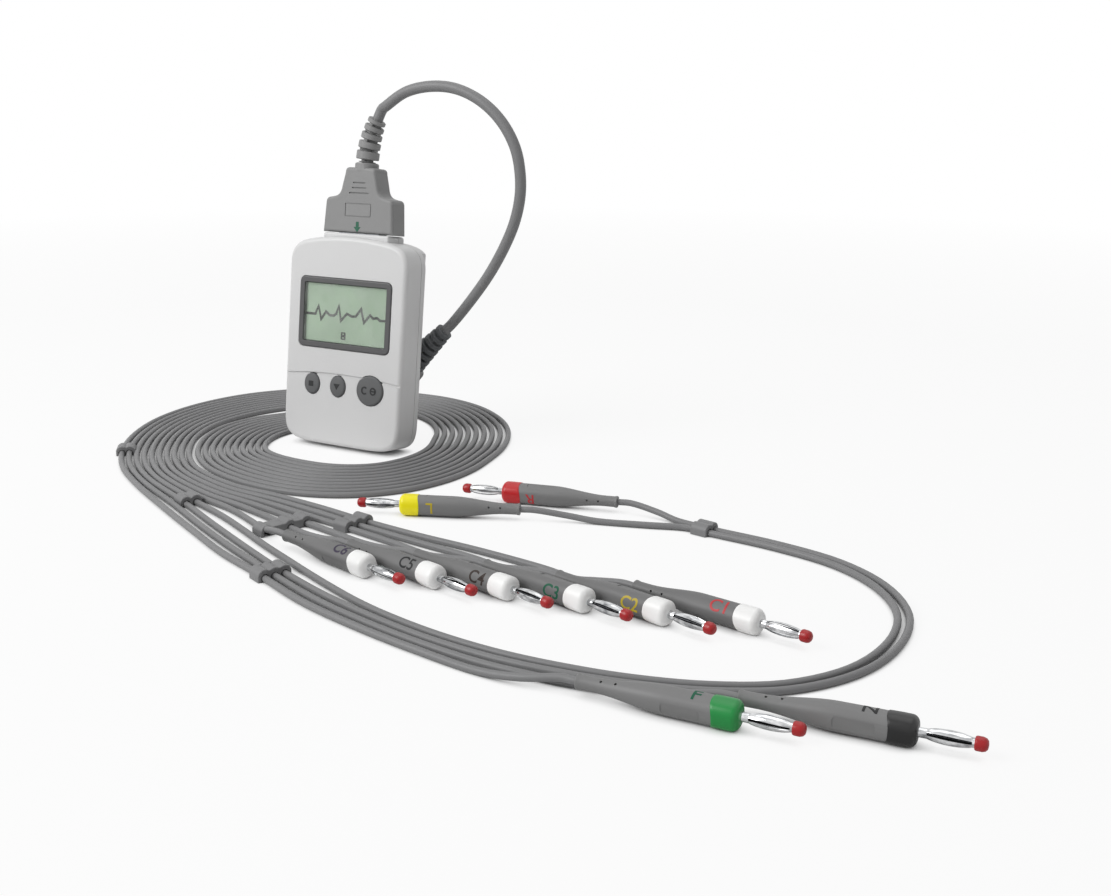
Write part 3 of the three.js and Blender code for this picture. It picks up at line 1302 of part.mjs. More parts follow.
// Contact pin: a root in the handle, a bowed spring and a short moulded tip.
function plugPin() {
  const root = -PIN_LENGTH - PIN_ROOT;
  const springBack = -PIN_LENGTH + 3;
  const springFront = -PIN_TIP_LENGTH - 1;
  const profile = [
    [0, root],
    [PIN_NECK_RADIUS, root],
    [PIN_NECK_RADIUS, springBack],
    [PIN_SPRING_RADIUS, (springBack * 2 + springFront) / 3],
    [PIN_SPRING_RADIUS, (springBack + springFront * 2) / 3],
    [PIN_NECK_RADIUS, springFront],
    [PIN_NECK_RADIUS, -PIN_TIP_LENGTH],
    [PIN_TIP_RADIUS, -PIN_TIP_LENGTH],
    [PIN_TIP_RADIUS - 0.5, 0],
    [0, 0],
  ].map(([radius, along]) => new THREE.Vector2(radius, along));
  const geometry = new THREE.LatheGeometry(profile, 8);
  geometry.rotateZ(-Math.PI / 2);
  return geometry;
}

const plugBodyGeometry = geometryOf(plugBody());
const plugPinGeometry = plugPin();
for (const lead of LEADS) {
  const plug = new THREE.Group();
  plug.position.set(lead.tip[0], lead.tip[1], PLUG_AXIS_HEIGHT);
  plug.rotation.z = lead.heading * DEGREE;
  layout.add(plug);
  piece(`plug_${lead.name}`, plugBodyGeometry, materials.greyCable, plug);
  piece(`pin_${lead.name}`, plugPinGeometry, materials.chrome, plug);
}

// A joiner is a small moulded clip that snaps over its leads: each passage is open below.
function joinerClip({ pitch, lanes }) {
  const width = (lanes.length - 1) * pitch + LEAD_DIAMETER + 2 * CLEARANCE + 2 * JOINER_WALL;
  const section = roundedRectangle(width, JOINER_HEIGHT, 1.4, 0, JOINER_HEIGHT / 2);
  let clip = slab(section, -JOINER_LENGTH / 2, JOINER_LENGTH / 2, 0, 0, 2);
  lanes.forEach((_, lane) => {
    const x = (lane - (lanes.length - 1) / 2) * pitch;
    const radius = LEAD_DIAMETER / 2 + CLEARANCE;
    clip = cut(clip, cylinderAlongY(radius, -JOINER_LENGTH, JOINER_LENGTH, x, LEAD_HEIGHT));
  });
  return clip;
}

for (const [name, joiner] of Object.entries(JOINERS)) {
  const clip = piece(name, joinerClip(joiner), materials.greyCable, layout);
  clip.position.set(joiner.at[0], joiner.at[1], 0);
  clip.rotation.z = (joiner.heading - 90) * DEGREE;
}

// The origin lies on the floor under the middle of the hand unit's box.
const assembly = new THREE.Group();
layout.position.y = -(unitBox.min.y + unitBox.max.y) / 2;
assembly.add(layout);

export default assembly;
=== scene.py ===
"""Looks of an electrocardiograph acquisition module with its trunk cable and ten lead wires.

Pieces are made in millimetres in the frame of their own sub-assembly and then set into the row frame of
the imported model, which is in metres: +Z is up, the keypad faces -Y and +X is right of the keypad.
"""

import logging
import math
from dataclasses import dataclass, field
from enum import Enum
from functools import cache
from typing import Callable, Sequence

import bmesh
import bpy
from mathutils import Matrix, Vector


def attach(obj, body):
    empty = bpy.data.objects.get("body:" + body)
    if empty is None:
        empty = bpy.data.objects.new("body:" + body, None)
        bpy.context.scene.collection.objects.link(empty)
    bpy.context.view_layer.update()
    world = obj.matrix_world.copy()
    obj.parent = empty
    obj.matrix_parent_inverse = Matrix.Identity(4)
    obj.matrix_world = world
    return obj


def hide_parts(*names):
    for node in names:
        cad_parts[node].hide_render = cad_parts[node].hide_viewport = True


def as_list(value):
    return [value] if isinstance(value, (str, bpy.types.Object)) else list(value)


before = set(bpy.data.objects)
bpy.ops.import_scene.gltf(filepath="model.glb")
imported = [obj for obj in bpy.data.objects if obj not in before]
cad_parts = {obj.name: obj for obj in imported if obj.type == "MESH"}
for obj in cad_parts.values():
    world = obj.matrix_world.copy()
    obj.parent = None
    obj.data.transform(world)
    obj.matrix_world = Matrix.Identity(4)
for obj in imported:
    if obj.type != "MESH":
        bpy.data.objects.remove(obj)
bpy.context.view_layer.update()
LOG = logging.getLogger("ecg_module")

Point2 = tuple[float, float]
Point3 = tuple[float, float, float]
Outline = list[Point2]
Colour = tuple[int, int, int]
Piece = bpy.types.Object
Tree = bpy.types.NodeTree
Socket = bpy.types.NodeSocket

# Frames of the sub-assemblies, in millimetres
MM = 0.001
LEAN = math.radians(8.3)
UNIT_LIFT = 0.6496
ROW_SHIFT = -7.7184
JUNCTION_TOP = (23.44, 18.1, 44.49)
JUNCTION_SLANT = math.radians(44.6)
FLOOR_FRAME = Matrix.Translation((0, ROW_SHIFT, 0))
UNIT_ON_FLOOR = Matrix.Translation((0, 0, UNIT_LIFT)) @ Matrix.Rotation(-LEAN, 4, "X")
JUNCTION_ON_FLOOR = (
    UNIT_ON_FLOOR @ Matrix.Translation(JUNCTION_TOP) @ Matrix.Rotation(-JUNCTION_SLANT, 4, "Y")
)
UNIT_FRAME = FLOOR_FRAME @ UNIT_ON_FLOOR
JUNCTION_FRAME = FLOOR_FRAME @ JUNCTION_ON_FLOOR

HOOD_BOOT_LINE = ((1.5, 145.0), (2.1, 156.7), (6.7, 166.2))
JUNCTION_BOOT_LENGTH = 26.6
CLEARANCE = 0.3
FAR = 300.0
INK_THICKNESS = 0.06
BEVEL_ANGLE = 40.0
BODY = "unit"


class Op(Enum):
    """What a boolean does with its tool."""

    CUT = "DIFFERENCE"
    JOIN = "UNION"
    KEEP = "INTERSECT"


class Slot(Enum):
    """Material slots."""

    SHELL = "shell"
    BEZEL = "bezel"
    DISPLAY = "display"
    KEY = "key"
    STEEL = "steel"
    MOULDING = "moulding"
    CABLE = "cable"
    BOOT = "boot"
    HANDLE = "handle"
    PIN = "pin"


def linear(colour: Colour) -> tuple[float, float, float, float]:
    """Turns a screen colour into a linear one.

    Args:
        colour: red, green and blue from 0 to 255.

    Returns:
        Linear red, green, blue and an alpha of 1.
    """
    def one(value: float) -> float:
        """Linear value of one channel."""
        share = value / 255
        return share / 12.92 if share <= 0.04045 else ((share + 0.055) / 1.055) ** 2.4

    return (one(colour[0]), one(colour[1]), one(colour[2]), 1.0)


def lerp(start: float, end: float, share: float) -> float:
    """Value a share of the way from start to end."""
    return start + (end - start) * share


def smoothstep(value: float, low: float, high: float) -> float:
    """Smooth rise from 0 at low to 1 at high."""
    share = min(1.0, max(0.0, (value - low) / (high - low)))
    return share * share * (3 - 2 * share)


# Outlines


@dataclass
class Pen:
    """Draws an outline of straight lines and curves, point by point."""

    points: Outline = field(default_factory=list)
    steps: int = 14

    def to(self, x: float, z: float) -> "Pen":
        """Straight line to a point, or the first point."""
        if not self.points or math.dist(self.points[-1], (x, z)) > 1e-4:
            self.points.append((x, z))
        return self

    def bend(self, handles: Sequence[Point2], end: Point2) -> "Pen":
        """Bezier curve to a point, with one or two handles.

        Args:
            handles: one handle for a quadratic curve, two for a cubic one.
            end: where the curve ends.

        Returns:
            The pen itself.
        """
        chain = [self.points[-1], *handles, end]
        for step in range(1, self.steps + 1):
            share = step / self.steps
            level = chain
            while len(level) > 1:
                level = [
                    (lerp(a[0], b[0], share), lerp(a[1], b[1], share))
                    for a, b in zip(level, level[1:])
                ]
            self.to(*level[0])
        return self

    def arc(self, centre: Point2, radius: float, start: float, end: float) -> "Pen":
        """Circular arc between two angles in degrees."""
        for step in range(self.steps + 1):
            angle = math.radians(lerp(start, end, step / self.steps))
            self.to(centre[0] + radius * math.cos(angle), centre[1] + radius * math.sin(angle))
        return self

    def closed(self) -> Outline:
        """The outline without a repeated last point."""
        if math.dist(self.points[0], self.points[-1]) < 1e-4:
            self.points.pop()
        return self.points


def rounded_rectangle(
    width: float, height: float, corner: float, centre: Point2 = (0.0, 0.0), steps: int = 6,
) -> Outline:
    """Rectangle with round corners.

    Args:
        width: size along x.
        height: size along z.
        corner: radius of the corners.
        centre: middle of the rectangle.
        steps: parts of each corner.

    Returns:
        The outline, anticlockwise.
    """
    right = centre[0] + width / 2 - corner
    left = centre[0] - width / 2 + corner
    top = centre[1] + height / 2 - corner
    bottom = centre[1] - height / 2 + corner
    pen = Pen(steps=steps)
    pen.arc((right, bottom), corner, -90, 0).arc((right, top), corner, 0, 90)
    pen.arc((left, top), corner, 90, 180).arc((left, bottom), corner, 180, 270)
    return pen.closed()


def ellipse(width: float, height: float, centre: Point2, sides: int = 48) -> Outline:
    """Outline of an ellipse."""
    turns = [2 * math.pi * side / sides for side in range(sides)]
    return [
        (centre[0] + width / 2 * math.cos(turn), centre[1] + height / 2 * math.sin(turn))
        for turn in turns
    ]


def inset(outline: Outline, distance: float) -> Outline:
    """Moves every side of an outline inwards.

    Args:
        outline: closed outline.
        distance: how far the sides move, outwards where it is negative.

    Returns:
        The moved outline, with as many points.
    """
    count = len(outline)
    area = sum(
        outline[i][0] * outline[(i + 1) % count][1] - outline[(i + 1) % count][0] * outline[i][1]
        for i in range(count)
    )
    turn = 1.0 if area > 0 else -1.0
    moved = []
    for i, (x, z) in enumerate(outline):
        before, after = outline[i - 1], outline[(i + 1) % count]
        first = Vector((x - before[0], z - before[1])).normalized()
        second = Vector((after[0] - x, after[1] - z)).normalized()
        normal_a = Vector((-first.y, first.x)) * turn
        normal_b = Vector((-second.y, second.x)) * turn
        share = max(0.35, 1 + normal_a.dot(normal_b))
        step = (normal_a + normal_b) * (distance / share)
        moved.append((x + step.x, z + step.y))
    return moved


# Meshes


def ribbon(points: Sequence[Point2], width: float) -> Outline:
    """Outline of a stroke of even width along a broken line.

    Args:
        points: corners of the line.
        width: width of the stroke.

    Returns:
        The outline, first along one side and then back along the other.
    """
    lines = [Vector(point) for point in points]
    ways = [(after - before).normalized() for before, after in zip(lines, lines[1:])]
    left, right = [], []
    for place, point in enumerate(lines):
        before, after = ways[max(0, place - 1)], ways[min(len(ways) - 1, place)]
        along = (before + after).normalized()
        reach = width / 2 / max(0.5, along.dot(after))
        side = Vector((-along.y, along.x)) * reach
        left.append(tuple(point + side))
        right.append(tuple(point - side))
    return [*left, *reversed(right)]


def linked(name: str, data: bpy.types.ID) -> Piece:
    """Makes an object of some data and links it to the scene."""
    made = bpy.data.objects.new(name, data)
    bpy.context.scene.collection.objects.link(made)
    return made


def mesh_piece(name: str, points: Sequence[Sequence[float]], faces: Sequence[Sequence[int]]) -> Piece:
    """Makes a mesh object whose faces point outwards.

    Args:
        name: name of the piece.
        points: corners.
        faces: corner numbers of each face.

    Returns:
        The new object, linked to the scene.
    """
    mesh = bpy.data.meshes.new(name)
    mesh.from_pydata([tuple(point) for point in points], [], [tuple(face) for face in faces])
    turned = bmesh.new()
    turned.from_mesh(mesh)
    bmesh.ops.recalc_face_normals(turned, faces=turned.faces)
    turned.to_mesh(mesh)
    turned.free()
    return linked(name, mesh)


def loft(name: str, rings: Sequence[Sequence[Sequence[float]]]) -> Piece:
    """Joins rings of points into one closed skin with an end face at both ends.

    Args:
        name: name of the piece.
        rings: rings with the same number of points.

    Returns:
        The new object.
    """
    sides = len(rings[0])
    points = [point for ring in rings for point in ring]
    faces = []
    for ring in range(len(rings) - 1):
        for side in range(sides):
            a = ring * sides + side
            b = ring * sides + (side + 1) % sides
            faces.append((a, b, b + sides, a + sides))
    last = (len(rings) - 1) * sides
    faces.append(tuple(reversed(range(sides))))
    faces.append(tuple(range(last, last + sides)))
    return mesh_piece(name, points, faces)


def slab(
    outline: Outline, front: float, back: float,
    front_round: float = 0.0, back_round: float = 0.0, steps: int = 7, name: str = "tool",
) -> Piece:
    """Makes a front-view outline solid between two depths.

    Args:
        outline: points (x, z).
        front: y of the front face.
        back: y of the back face.
        front_round: radius of the front edge.
        back_round: radius of the back edge.
        steps: parts of each rounded edge.
        name: name of the piece.

    Returns:
        The new object.
    """
    stations = []
    for radius, face, way in ((front_round, front, 1.0), (back_round, back, -1.0)):
        turns = range(steps + 1) if radius else range(1)
        edge = []
        for step in turns:
            angle = math.pi / 2 * step / steps
            edge.append((radius * (1 - math.sin(angle)), face + way * radius * (1 - math.cos(angle))))
        stations.append(edge)
    rings = []
    for shift, depth in [*stations[0], *reversed(stations[1])]:
        ring = inset(outline, shift) if shift else outline
        rings.append([(x, depth, z) for x, z in ring])
    return loft(name, rings)


def block(low: Sequence[float], high: Sequence[float], name: str = "tool") -> Piece:
    """Box between two opposite corners, as a cutter or a rough blank."""
    outline = [(low[0], low[2]), (high[0], low[2]), (high[0], high[2]), (low[0], high[2])]
    return slab(outline, low[1], high[1], name=name)


def rod(radius: float, front: float, back: float, x: float, z: float, sides: int = 32) -> Piece:
    """Round rod along y."""
    return slab(ellipse(2 * radius, 2 * radius, (x, z), sides), front, back)


def turned(name: str, profile: Sequence[Point2], place: Matrix, sides: int = 32) -> Piece:
    """Turns a profile of (radius, distance) round the x axis.

    Args:
        name: name of the piece.
        profile: radius and distance along x.
        place: where the turned form goes.
        sides: parts of the full turn.

    Returns:
        The new object.
    """
    rings = []
    for radius, along in profile:
        ring = []
        for side in range(sides):
            angle = 2 * math.pi * side / sides
            size = max(radius, 0.01)
            ring.append(place @ Vector((along, size * math.cos(angle), size * math.sin(angle))))
        rings.append(ring)
    return loft(name, rings)


def combine(piece: Piece, how: Op, *tools: Piece) -> Piece:
    """Joins, cuts or trims a piece with tools, which are used up.

    Args:
        piece: the piece to change.
        how: what is done.
        tools: closed meshes.

    Returns:
        The changed piece.
    """
    for tool in tools:
        for solver in ("MANIFOLD", "EXACT"):
            modifier = piece.modifiers.new("combine", "BOOLEAN")
            modifier.operation = how.value
            modifier.solver = solver
            modifier.object = tool
            graph = bpy.context.evaluated_depsgraph_get()
            made = bpy.data.meshes.new_from_object(piece.evaluated_get(graph))
            piece.modifiers.clear()
            changed = len(made.vertices) != len(piece.data.vertices)
            if len(made.vertices) and changed:
                break
        old = piece.data
        piece.data = made
        bpy.data.meshes.remove(old)
        bpy.data.objects.remove(tool)
    return piece


def merged(name: str, pieces: Sequence[Piece]) -> Piece:
    """Gathers the meshes of several pieces in one object.

    Args:
        name: name of the new piece.
        pieces: mesh objects, which are used up.

    Returns:
        The new object.
    """
    points: list[Sequence[float]] = []
    faces: list[Sequence[int]] = []
    for piece in pieces:
        start = len(points)
        points.extend(tuple(vertex.co) for vertex in piece.data.vertices)
        faces.extend([start + index for index in face.vertices] for face in piece.data.polygons)
        bpy.data.objects.remove(piece)
    return mesh_piece(name, points, faces)


def finish_piece(
    piece: Piece, name: str, place: Matrix, finish: "Finish",
    slot: Slot | None = None, stands_for: Sequence[str] = (), body: str = BODY,
    crease: float = 32.0, soft_edge: float = 0.0,
) -> Piece:
    """Sets a piece made in millimetres into the row frame and dresses it.

    Args:
        piece: mesh object in the frame of its sub-assembly.
        name: final name.
        place: frame of the sub-assembly, in millimetres.
        finish: its finish.
        slot: not used.
        stands_for: CAD nodes that the piece replaces.
        body: body that it rides on.
        crease: angle in degrees above which an edge stays sharp.
        soft_edge: width of a small bevel on the sharp edges.

    Returns:
        The piece.
    """
    piece.name = name
    piece.data.name = name
    piece.data.transform(Matrix.Scale(MM, 4) @ place)
    piece.data.materials.clear()
    piece.data.materials.append(finish.material())
    piece.data.shade_smooth()
    piece.data.set_sharp_from_angle(angle=math.radians(crease))
    if soft_edge:
        bevel = piece.modifiers.new("soft_edge", "BEVEL")
        bevel.width = soft_edge * MM
        bevel.segments = 2
        bevel.limit_method = "ANGLE"
        bevel.angle_limit = math.radians(BEVEL_ANGLE)
    weigh = piece.modifiers.new("even_shading", "WEIGHTED_NORMAL")
    weigh.keep_sharp = True
    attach(piece, body)
    if stands_for:
        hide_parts(*stands_for)
    LOG.info("%s: %d faces on %s", name, len(piece.data.polygons), body)
    return piece


def wrap_over(mesh: bpy.types.Mesh, half: float, power: float, strips: int = 14) -> None:
    """Bends flat print over the top of a square ring, along x.

    Args:
        mesh: flat mesh near z = 0, whose z = 0 is the top of the ring.
        half: half of the ring's width.
        power: squareness of the ring.
        strips: how many strips the print is sliced into.
    """
    work = bmesh.new()
    work.from_mesh(mesh)
    for strip in range(1, strips):
        level = half * (2 * strip / strips - 1)
        parts = [*work.verts, *work.edges, *work.faces]
        bmesh.ops.bisect_plane(work, geom=parts, plane_co=(0, level, 0), plane_no=(0, 1, 0))
    for vertex in work.verts:
        share = min(1.0, abs(vertex.co.y) / half)
        vertex.co.z -= half * (1 - (1 - share ** power) ** (1 / power))
    work.to_mesh(mesh)
    work.free()


def lettering(
    name: str, text: str, size: float, place: Matrix, ink: "Finish",
    over: Point2, weight: float = 0.09,
) -> Piece:
    """Printed lettering, bent over a square ring along x.

    Args:
        name: name of the piece.
        text: what it says.
        size: size of the letters.
        place: frame of the print, in millimetres, with its middle at the origin.
        ink: its ink.
        over: half width and squareness of the ring that it is printed on.
        weight: how much bolder the strokes are.

    Returns:
        The mesh object.
    """
    curve = bpy.data.curves.new(name, "FONT")
    curve.body = text
    curve.size = size
    curve.offset = weight
    curve.extrude = INK_THICKNESS
    curve.align_x = "CENTER"
    curve.align_y = "CENTER"
    source = linked("tool", curve)
    graph = bpy.context.evaluated_depsgraph_get()
    mesh = bpy.data.meshes.new_from_object(source.evaluated_get(graph))
    bpy.data.objects.remove(source)
    wrap_over(mesh, *over)
    return finish_piece(linked(name, mesh), name, place, ink)


# Shader groups and finishes


class Wiring:
    """Short ways to add and link the nodes of one tree."""

    def __init__(self, tree: Tree) -> None:
        """Keeps the tree."""
        self.tree = tree

    def node(self, kind: str, **settings: object) -> bpy.types.Node:
        """Adds a node and sets its own properties."""
        made = self.tree.nodes.new(kind)
        for label, value in settings.items():
            setattr(made, label, value)
        return made

    def feed(self, socket: Socket, value: object) -> None:
        """Links an output to a socket, or sets the socket's value."""
        if isinstance(value, Socket):
            self.tree.links.new(value, socket)
        else:
            socket.default_value = value

    def where(self) -> Socket:
        """Adds the coordinates of the object itself and returns them."""
        return self.node("ShaderNodeTexCoord").outputs["Object"]

    def math(self, operation: str, *values: object) -> Socket:
        """Adds a Math node and returns its result."""
        made = self.node("ShaderNodeMath", operation=operation)
        for socket, value in zip(made.inputs, values):
            self.feed(socket, value)
        return made.outputs[0]

    def noise(self, where: object, scale: object, detail: float = 3.0) -> Socket:
        """Adds a noise texture and returns its value from 0 to 1."""
        made = self.node("ShaderNodeTexNoise")
        self.feed(made.inputs["Vector"], where)
        self.feed(made.inputs["Scale"], scale)
        made.inputs["Detail"].default_value = detail
        return made.outputs["Fac"]

    def mix(self, share: object, first: object, second: object) -> Socket:
        """Mixes two colours and returns the result."""
        made = self.node("ShaderNodeMix", data_type="RGBA")
        self.feed(made.inputs[0], share)
        self.feed(made.inputs[6], first)
        self.feed(made.inputs[7], second)
        return made.outputs[2]

    def ramp(self, value: object, low: float, high: float) -> Socket:
        """Spreads a value so that low becomes 0 and high becomes 1."""
        made = self.node("ShaderNodeMapRange")
        self.feed(made.inputs["Value"], value)
        made.inputs["From Min"].default_value = low
        made.inputs["From Max"].default_value = high
        return made.outputs["Result"]

    def group(self, tree: Tree, **values: object) -> bpy.types.Node:
        """Places a shader group with its own values."""
        made = self.node("ShaderNodeGroup", node_tree=tree)
        for label, value in values.items():
            self.feed(made.inputs[label.replace("_", " ")], value)
        return made


def new_group(
    name: str, inputs: dict[str, str], outputs: dict[str, str],
) -> tuple[Tree, Wiring, bpy.types.NodeOutputs, bpy.types.NodeInputs]:
    """Makes an empty shader group with named sockets.

    Args:
        name: name of the group.
        inputs: name and kind of each socket that it takes.
        outputs: name and kind of each socket that it puts out.

    Returns:
        The group, its wiring, what it is given and what it puts out.
    """
    group = bpy.data.node_groups.new(name, "ShaderNodeTree")
    for in_out, sockets in (("INPUT", inputs), ("OUTPUT", outputs)):
        for label, kind in sockets.items():
            group.interface.new_socket(name=label, in_out=in_out, socket_type=f"NodeSocket{kind}")
    wiring = Wiring(group)
    return group, wiring, wiring.node("NodeGroupInput").outputs, wiring.node("NodeGroupOutput").inputs


PATCH_SCALE = 60.0
EDGE_MASK = (0.51, 0.58)
# Hollows are found by low pointiness and darkened as painted shade.
HOLLOW_MASK = (0.49, 0.42)


@cache
def moulded_group() -> Tree:
    """Group: fine grain, soft colour patches and uneven gloss of moulded plastic.

    Returns:
        The group, made once.
    """
    group, wiring, given, put = new_group(
        "moulded_surface",
        {"Colour": "Color", "Grain": "Float", "Mottle": "Float", "Roughness": "Float", "Spread": "Float"},
        {"Colour": "Color", "Roughness": "Float", "Height": "Float"},
    )
    where = wiring.where()
    fine = wiring.noise(where, given["Grain"], 4.0)
    patches = wiring.noise(where, PATCH_SCALE, 2.0)
    swing = wiring.math("MULTIPLY", wiring.math("SUBTRACT", patches, 0.5), given["Mottle"])
    tint = wiring.node("ShaderNodeVectorMath", operation="SCALE")
    wiring.feed(tint.inputs[0], given["Colour"])
    wiring.feed(tint.inputs["Scale"], wiring.math("ADD", swing, 1.0))
    wiring.feed(put["Colour"], tint.outputs[0])
    gloss = wiring.math("MULTIPLY", wiring.math("SUBTRACT", fine, 0.5), given["Spread"])
    wiring.feed(put["Roughness"], wiring.math("ADD", given["Roughness"], gloss))
    wiring.feed(put["Height"], fine)
    return group


@cache
def wear_and_shade_group() -> Tree:
    """Group: masks of rubbed outer edges, and of hollows, which take painted shade.

    Returns:
        The group, made once.
    """
    group, wiring, given, put = new_group(
        "edge_and_hollow", {"Breakup": "Float"}, {"Edge": "Float", "Hollow": "Float"},
    )
    bend = wiring.node("ShaderNodeNewGeometry").outputs["Pointiness"]
    rough = wiring.noise(wiring.where(), given["Breakup"], 3.0)
    for label, mask in (("Edge", EDGE_MASK), ("Hollow", HOLLOW_MASK)):
        wiring.feed(put[label], wiring.math("MULTIPLY", wiring.ramp(bend, *mask), rough))
    return group


@cache
def streak_group() -> Tree:
    """Group: drawing marks of worked metal, long along one axis.

    Returns:
        The group, made once.
    """
    group, wiring, given, put = new_group(
        "drawn_streaks", {"Stretch": "Vector", "Roughness": "Float", "Spread": "Float"},
        {"Streak": "Float", "Roughness": "Float"},
    )
    stretch = wiring.node("ShaderNodeVectorMath", operation="MULTIPLY")
    wiring.feed(stretch.inputs[0], wiring.where())
    wiring.feed(stretch.inputs[1], given["Stretch"])
    marks = wiring.noise(stretch.outputs[0], 1.0, 5.0)
    swing = wiring.math("MULTIPLY", marks, given["Spread"])
    wiring.feed(put["Streak"], marks)
    wiring.feed(put["Roughness"], wiring.math("ADD", given["Roughness"], swing))
    return group


def blank_material(name: str) -> tuple[bpy.types.Material, Wiring, bpy.types.Node]:
    """A material with one Principled shader.

    Args:
        name: name of the material.

    Returns:
        The material, its wiring and the shader.
    """
    material = bpy.data.materials.new(name)
    material.use_nodes = True
    wiring = Wiring(material.node_tree)
    return material, wiring, material.node_tree.nodes["Principled BSDF"]


def add_relief(wiring: Wiring, shader: bpy.types.Node, height: object, depth: float) -> None:
    """Bumps a shader's normal by a height, with a depth in millimetres."""
    bump = wiring.node("ShaderNodeBump")
    bump.inputs["Distance"].default_value = depth * MM
    bump.inputs["Strength"].default_value = 1.0
    wiring.feed(bump.inputs["Height"], height)
    wiring.feed(shader.inputs["Normal"], bump.outputs["Normal"])


@dataclass(frozen=True)
class Finish:
    """A finish of its own name, as one material."""

    name: str

    def material(self) -> bpy.types.Material:
        """The finish as a material, made once.

        Returns:
            The material.
        """
        if self.name in bpy.data.materials:
            return bpy.data.materials[self.name]
        material, wiring, shader = blank_material(self.name)
        self.paint(wiring, shader)
        return material

    def paint(self, wiring: Wiring, shader: bpy.types.Node) -> None:
        """Sets up the shader. A plain finish leaves it as it is."""


@dataclass(frozen=True)
class Moulding(Finish):
    """Moulded plastic or rubber."""

    colour: Colour
    roughness: float = 0.5
    spread: float = 0.12
    grain: float = 1800.0
    relief: float = 0.03
    mottle: float = 0.1
    rubbed: float = 0.25
    # How strongly hollows are darkened, as painted shade.
    hollow_shade: float = 0.35
    breakup: float = 420.0
    paler: Point2 = (1.12, 8)
    # Share of the colour kept in the painted shade of hollows.
    darker: float = 0.55

    def paint(self, wiring: Wiring, shader: bpy.types.Node) -> None:
        """Sets up the shader.

        Args:
            wiring: nodes of the material.
            shader: its Principled shader.
        """
        surface = wiring.group(
            moulded_group(), Colour=linear(self.colour), Grain=self.grain, Mottle=self.mottle,
            Roughness=self.roughness, Spread=self.spread,
        )
        wear_and_shade = wiring.group(wear_and_shade_group(), Breakup=self.breakup)
        gain, lift = self.paler
        pale = tuple(min(255, int(value * gain) + lift) for value in self.colour)
        dark = tuple(int(value * self.darker) for value in self.colour)
        rubbed = wiring.math("MULTIPLY", wear_and_shade.outputs["Edge"], self.rubbed)
        # Hollows are darkened towards the dark tone: painted shade.
        hollow_shade = wiring.math("MULTIPLY", wear_and_shade.outputs["Hollow"], self.hollow_shade)
        colour = wiring.mix(rubbed, surface.outputs["Colour"], linear(pale))
        colour = wiring.mix(hollow_shade, colour, linear(dark))
        wiring.feed(shader.inputs["Base Color"], colour)
        wiring.feed(shader.inputs["Roughness"], surface.outputs["Roughness"])
        add_relief(wiring, shader, surface.outputs["Height"], self.relief)


@dataclass(frozen=True)
class Metal(Finish):
    """Drawn, pressed or plated metal."""

    colour: Colour
    shade: Colour
    roughness: float = 0.2
    spread: float = 0.15
    stretch: Point3 = (900.0, 900.0, 900.0)
    relief: float = 0.02
    # Near-black tone of the painted shade in hollows.
    hollow_shade_tone: Colour = (40, 42, 44)
    breakup: float = 800.0
    shade_ramp: Point2 = (0.35, 0.7)
    # How strongly the painted shade is laid in hollows.
    hollow_shade_share: float = 0.8

    def paint(self, wiring: Wiring, shader: bpy.types.Node) -> None:
        """Sets up the shader.

        Args:
            wiring: nodes of the material.
            shader: its Principled shader.
        """
        streaks = wiring.group(
            streak_group(), Stretch=self.stretch, Roughness=self.roughness, Spread=self.spread,
        )
        share = wiring.ramp(streaks.outputs["Streak"], *self.shade_ramp)
        colour = wiring.mix(share, linear(self.colour), linear(self.shade))
        wear_and_shade = wiring.group(wear_and_shade_group(), Breakup=self.breakup)
        # Hollows are darkened towards the near-black tone: painted shade.
        hollow_shading = wiring.math("MULTIPLY", wear_and_shade.outputs["Hollow"], self.hollow_shade_share)
        colour = wiring.mix(hollow_shading, colour, linear(self.hollow_shade_tone))
        wiring.feed(shader.inputs["Base Color"], colour)
        wiring.feed(shader.inputs["Roughness"], streaks.outputs["Roughness"])
        shader.inputs["Metallic"].default_value = 1.0
        add_relief(wiring, shader, streaks.outputs["Streak"], self.relief)


@dataclass(frozen=True)
class Display(Finish):
    """Reflective display glass: grey-green, with a fine grid of cells."""

    name: str = "display_glass"
    colour: Colour = (160, 184, 158)
    line: Colour = (149, 173, 148)
    pitch: float = 0.45
    line_share: float = 0.18
    cloud_scale: float = 45.0
    cloud_ramp: Point2 = (0.3, 0.8)
    gloss_ramp: Point2 = (-1.0, 4.0)
    paler: int = 16

    def paint(self, wiring: Wiring, shader: bpy.types.Node) -> None:
        """Sets up the shader.

        Args:
            wiring: nodes of the material.
            shader: its Principled shader.
        """
        where = wiring.where()
        parts = wiring.node("ShaderNodeSeparateXYZ")
        wiring.feed(parts.inputs[0], where)
        lines = []
        for axis in ("X", "Z"):
            steps = wiring.math("MULTIPLY", parts.outputs[axis], 1 / (self.pitch * MM))
            lines.append(wiring.math("LESS_THAN", wiring.math("FRACT", steps), self.line_share))
        grid = wiring.math("MAXIMUM", *lines)
        cloud = wiring.noise(where, self.cloud_scale, 1.0)
        colour = wiring.mix(grid, linear(self.colour), linear(self.line))
        pale = tuple(min(255, value + self.paler) for value in self.colour)
        colour = wiring.mix(wiring.ramp(cloud, *self.cloud_ramp), colour, linear(pale))
        wiring.feed(shader.inputs["Base Color"], colour)
        wiring.feed(shader.inputs["Roughness"], wiring.ramp(cloud, *self.gloss_ramp))


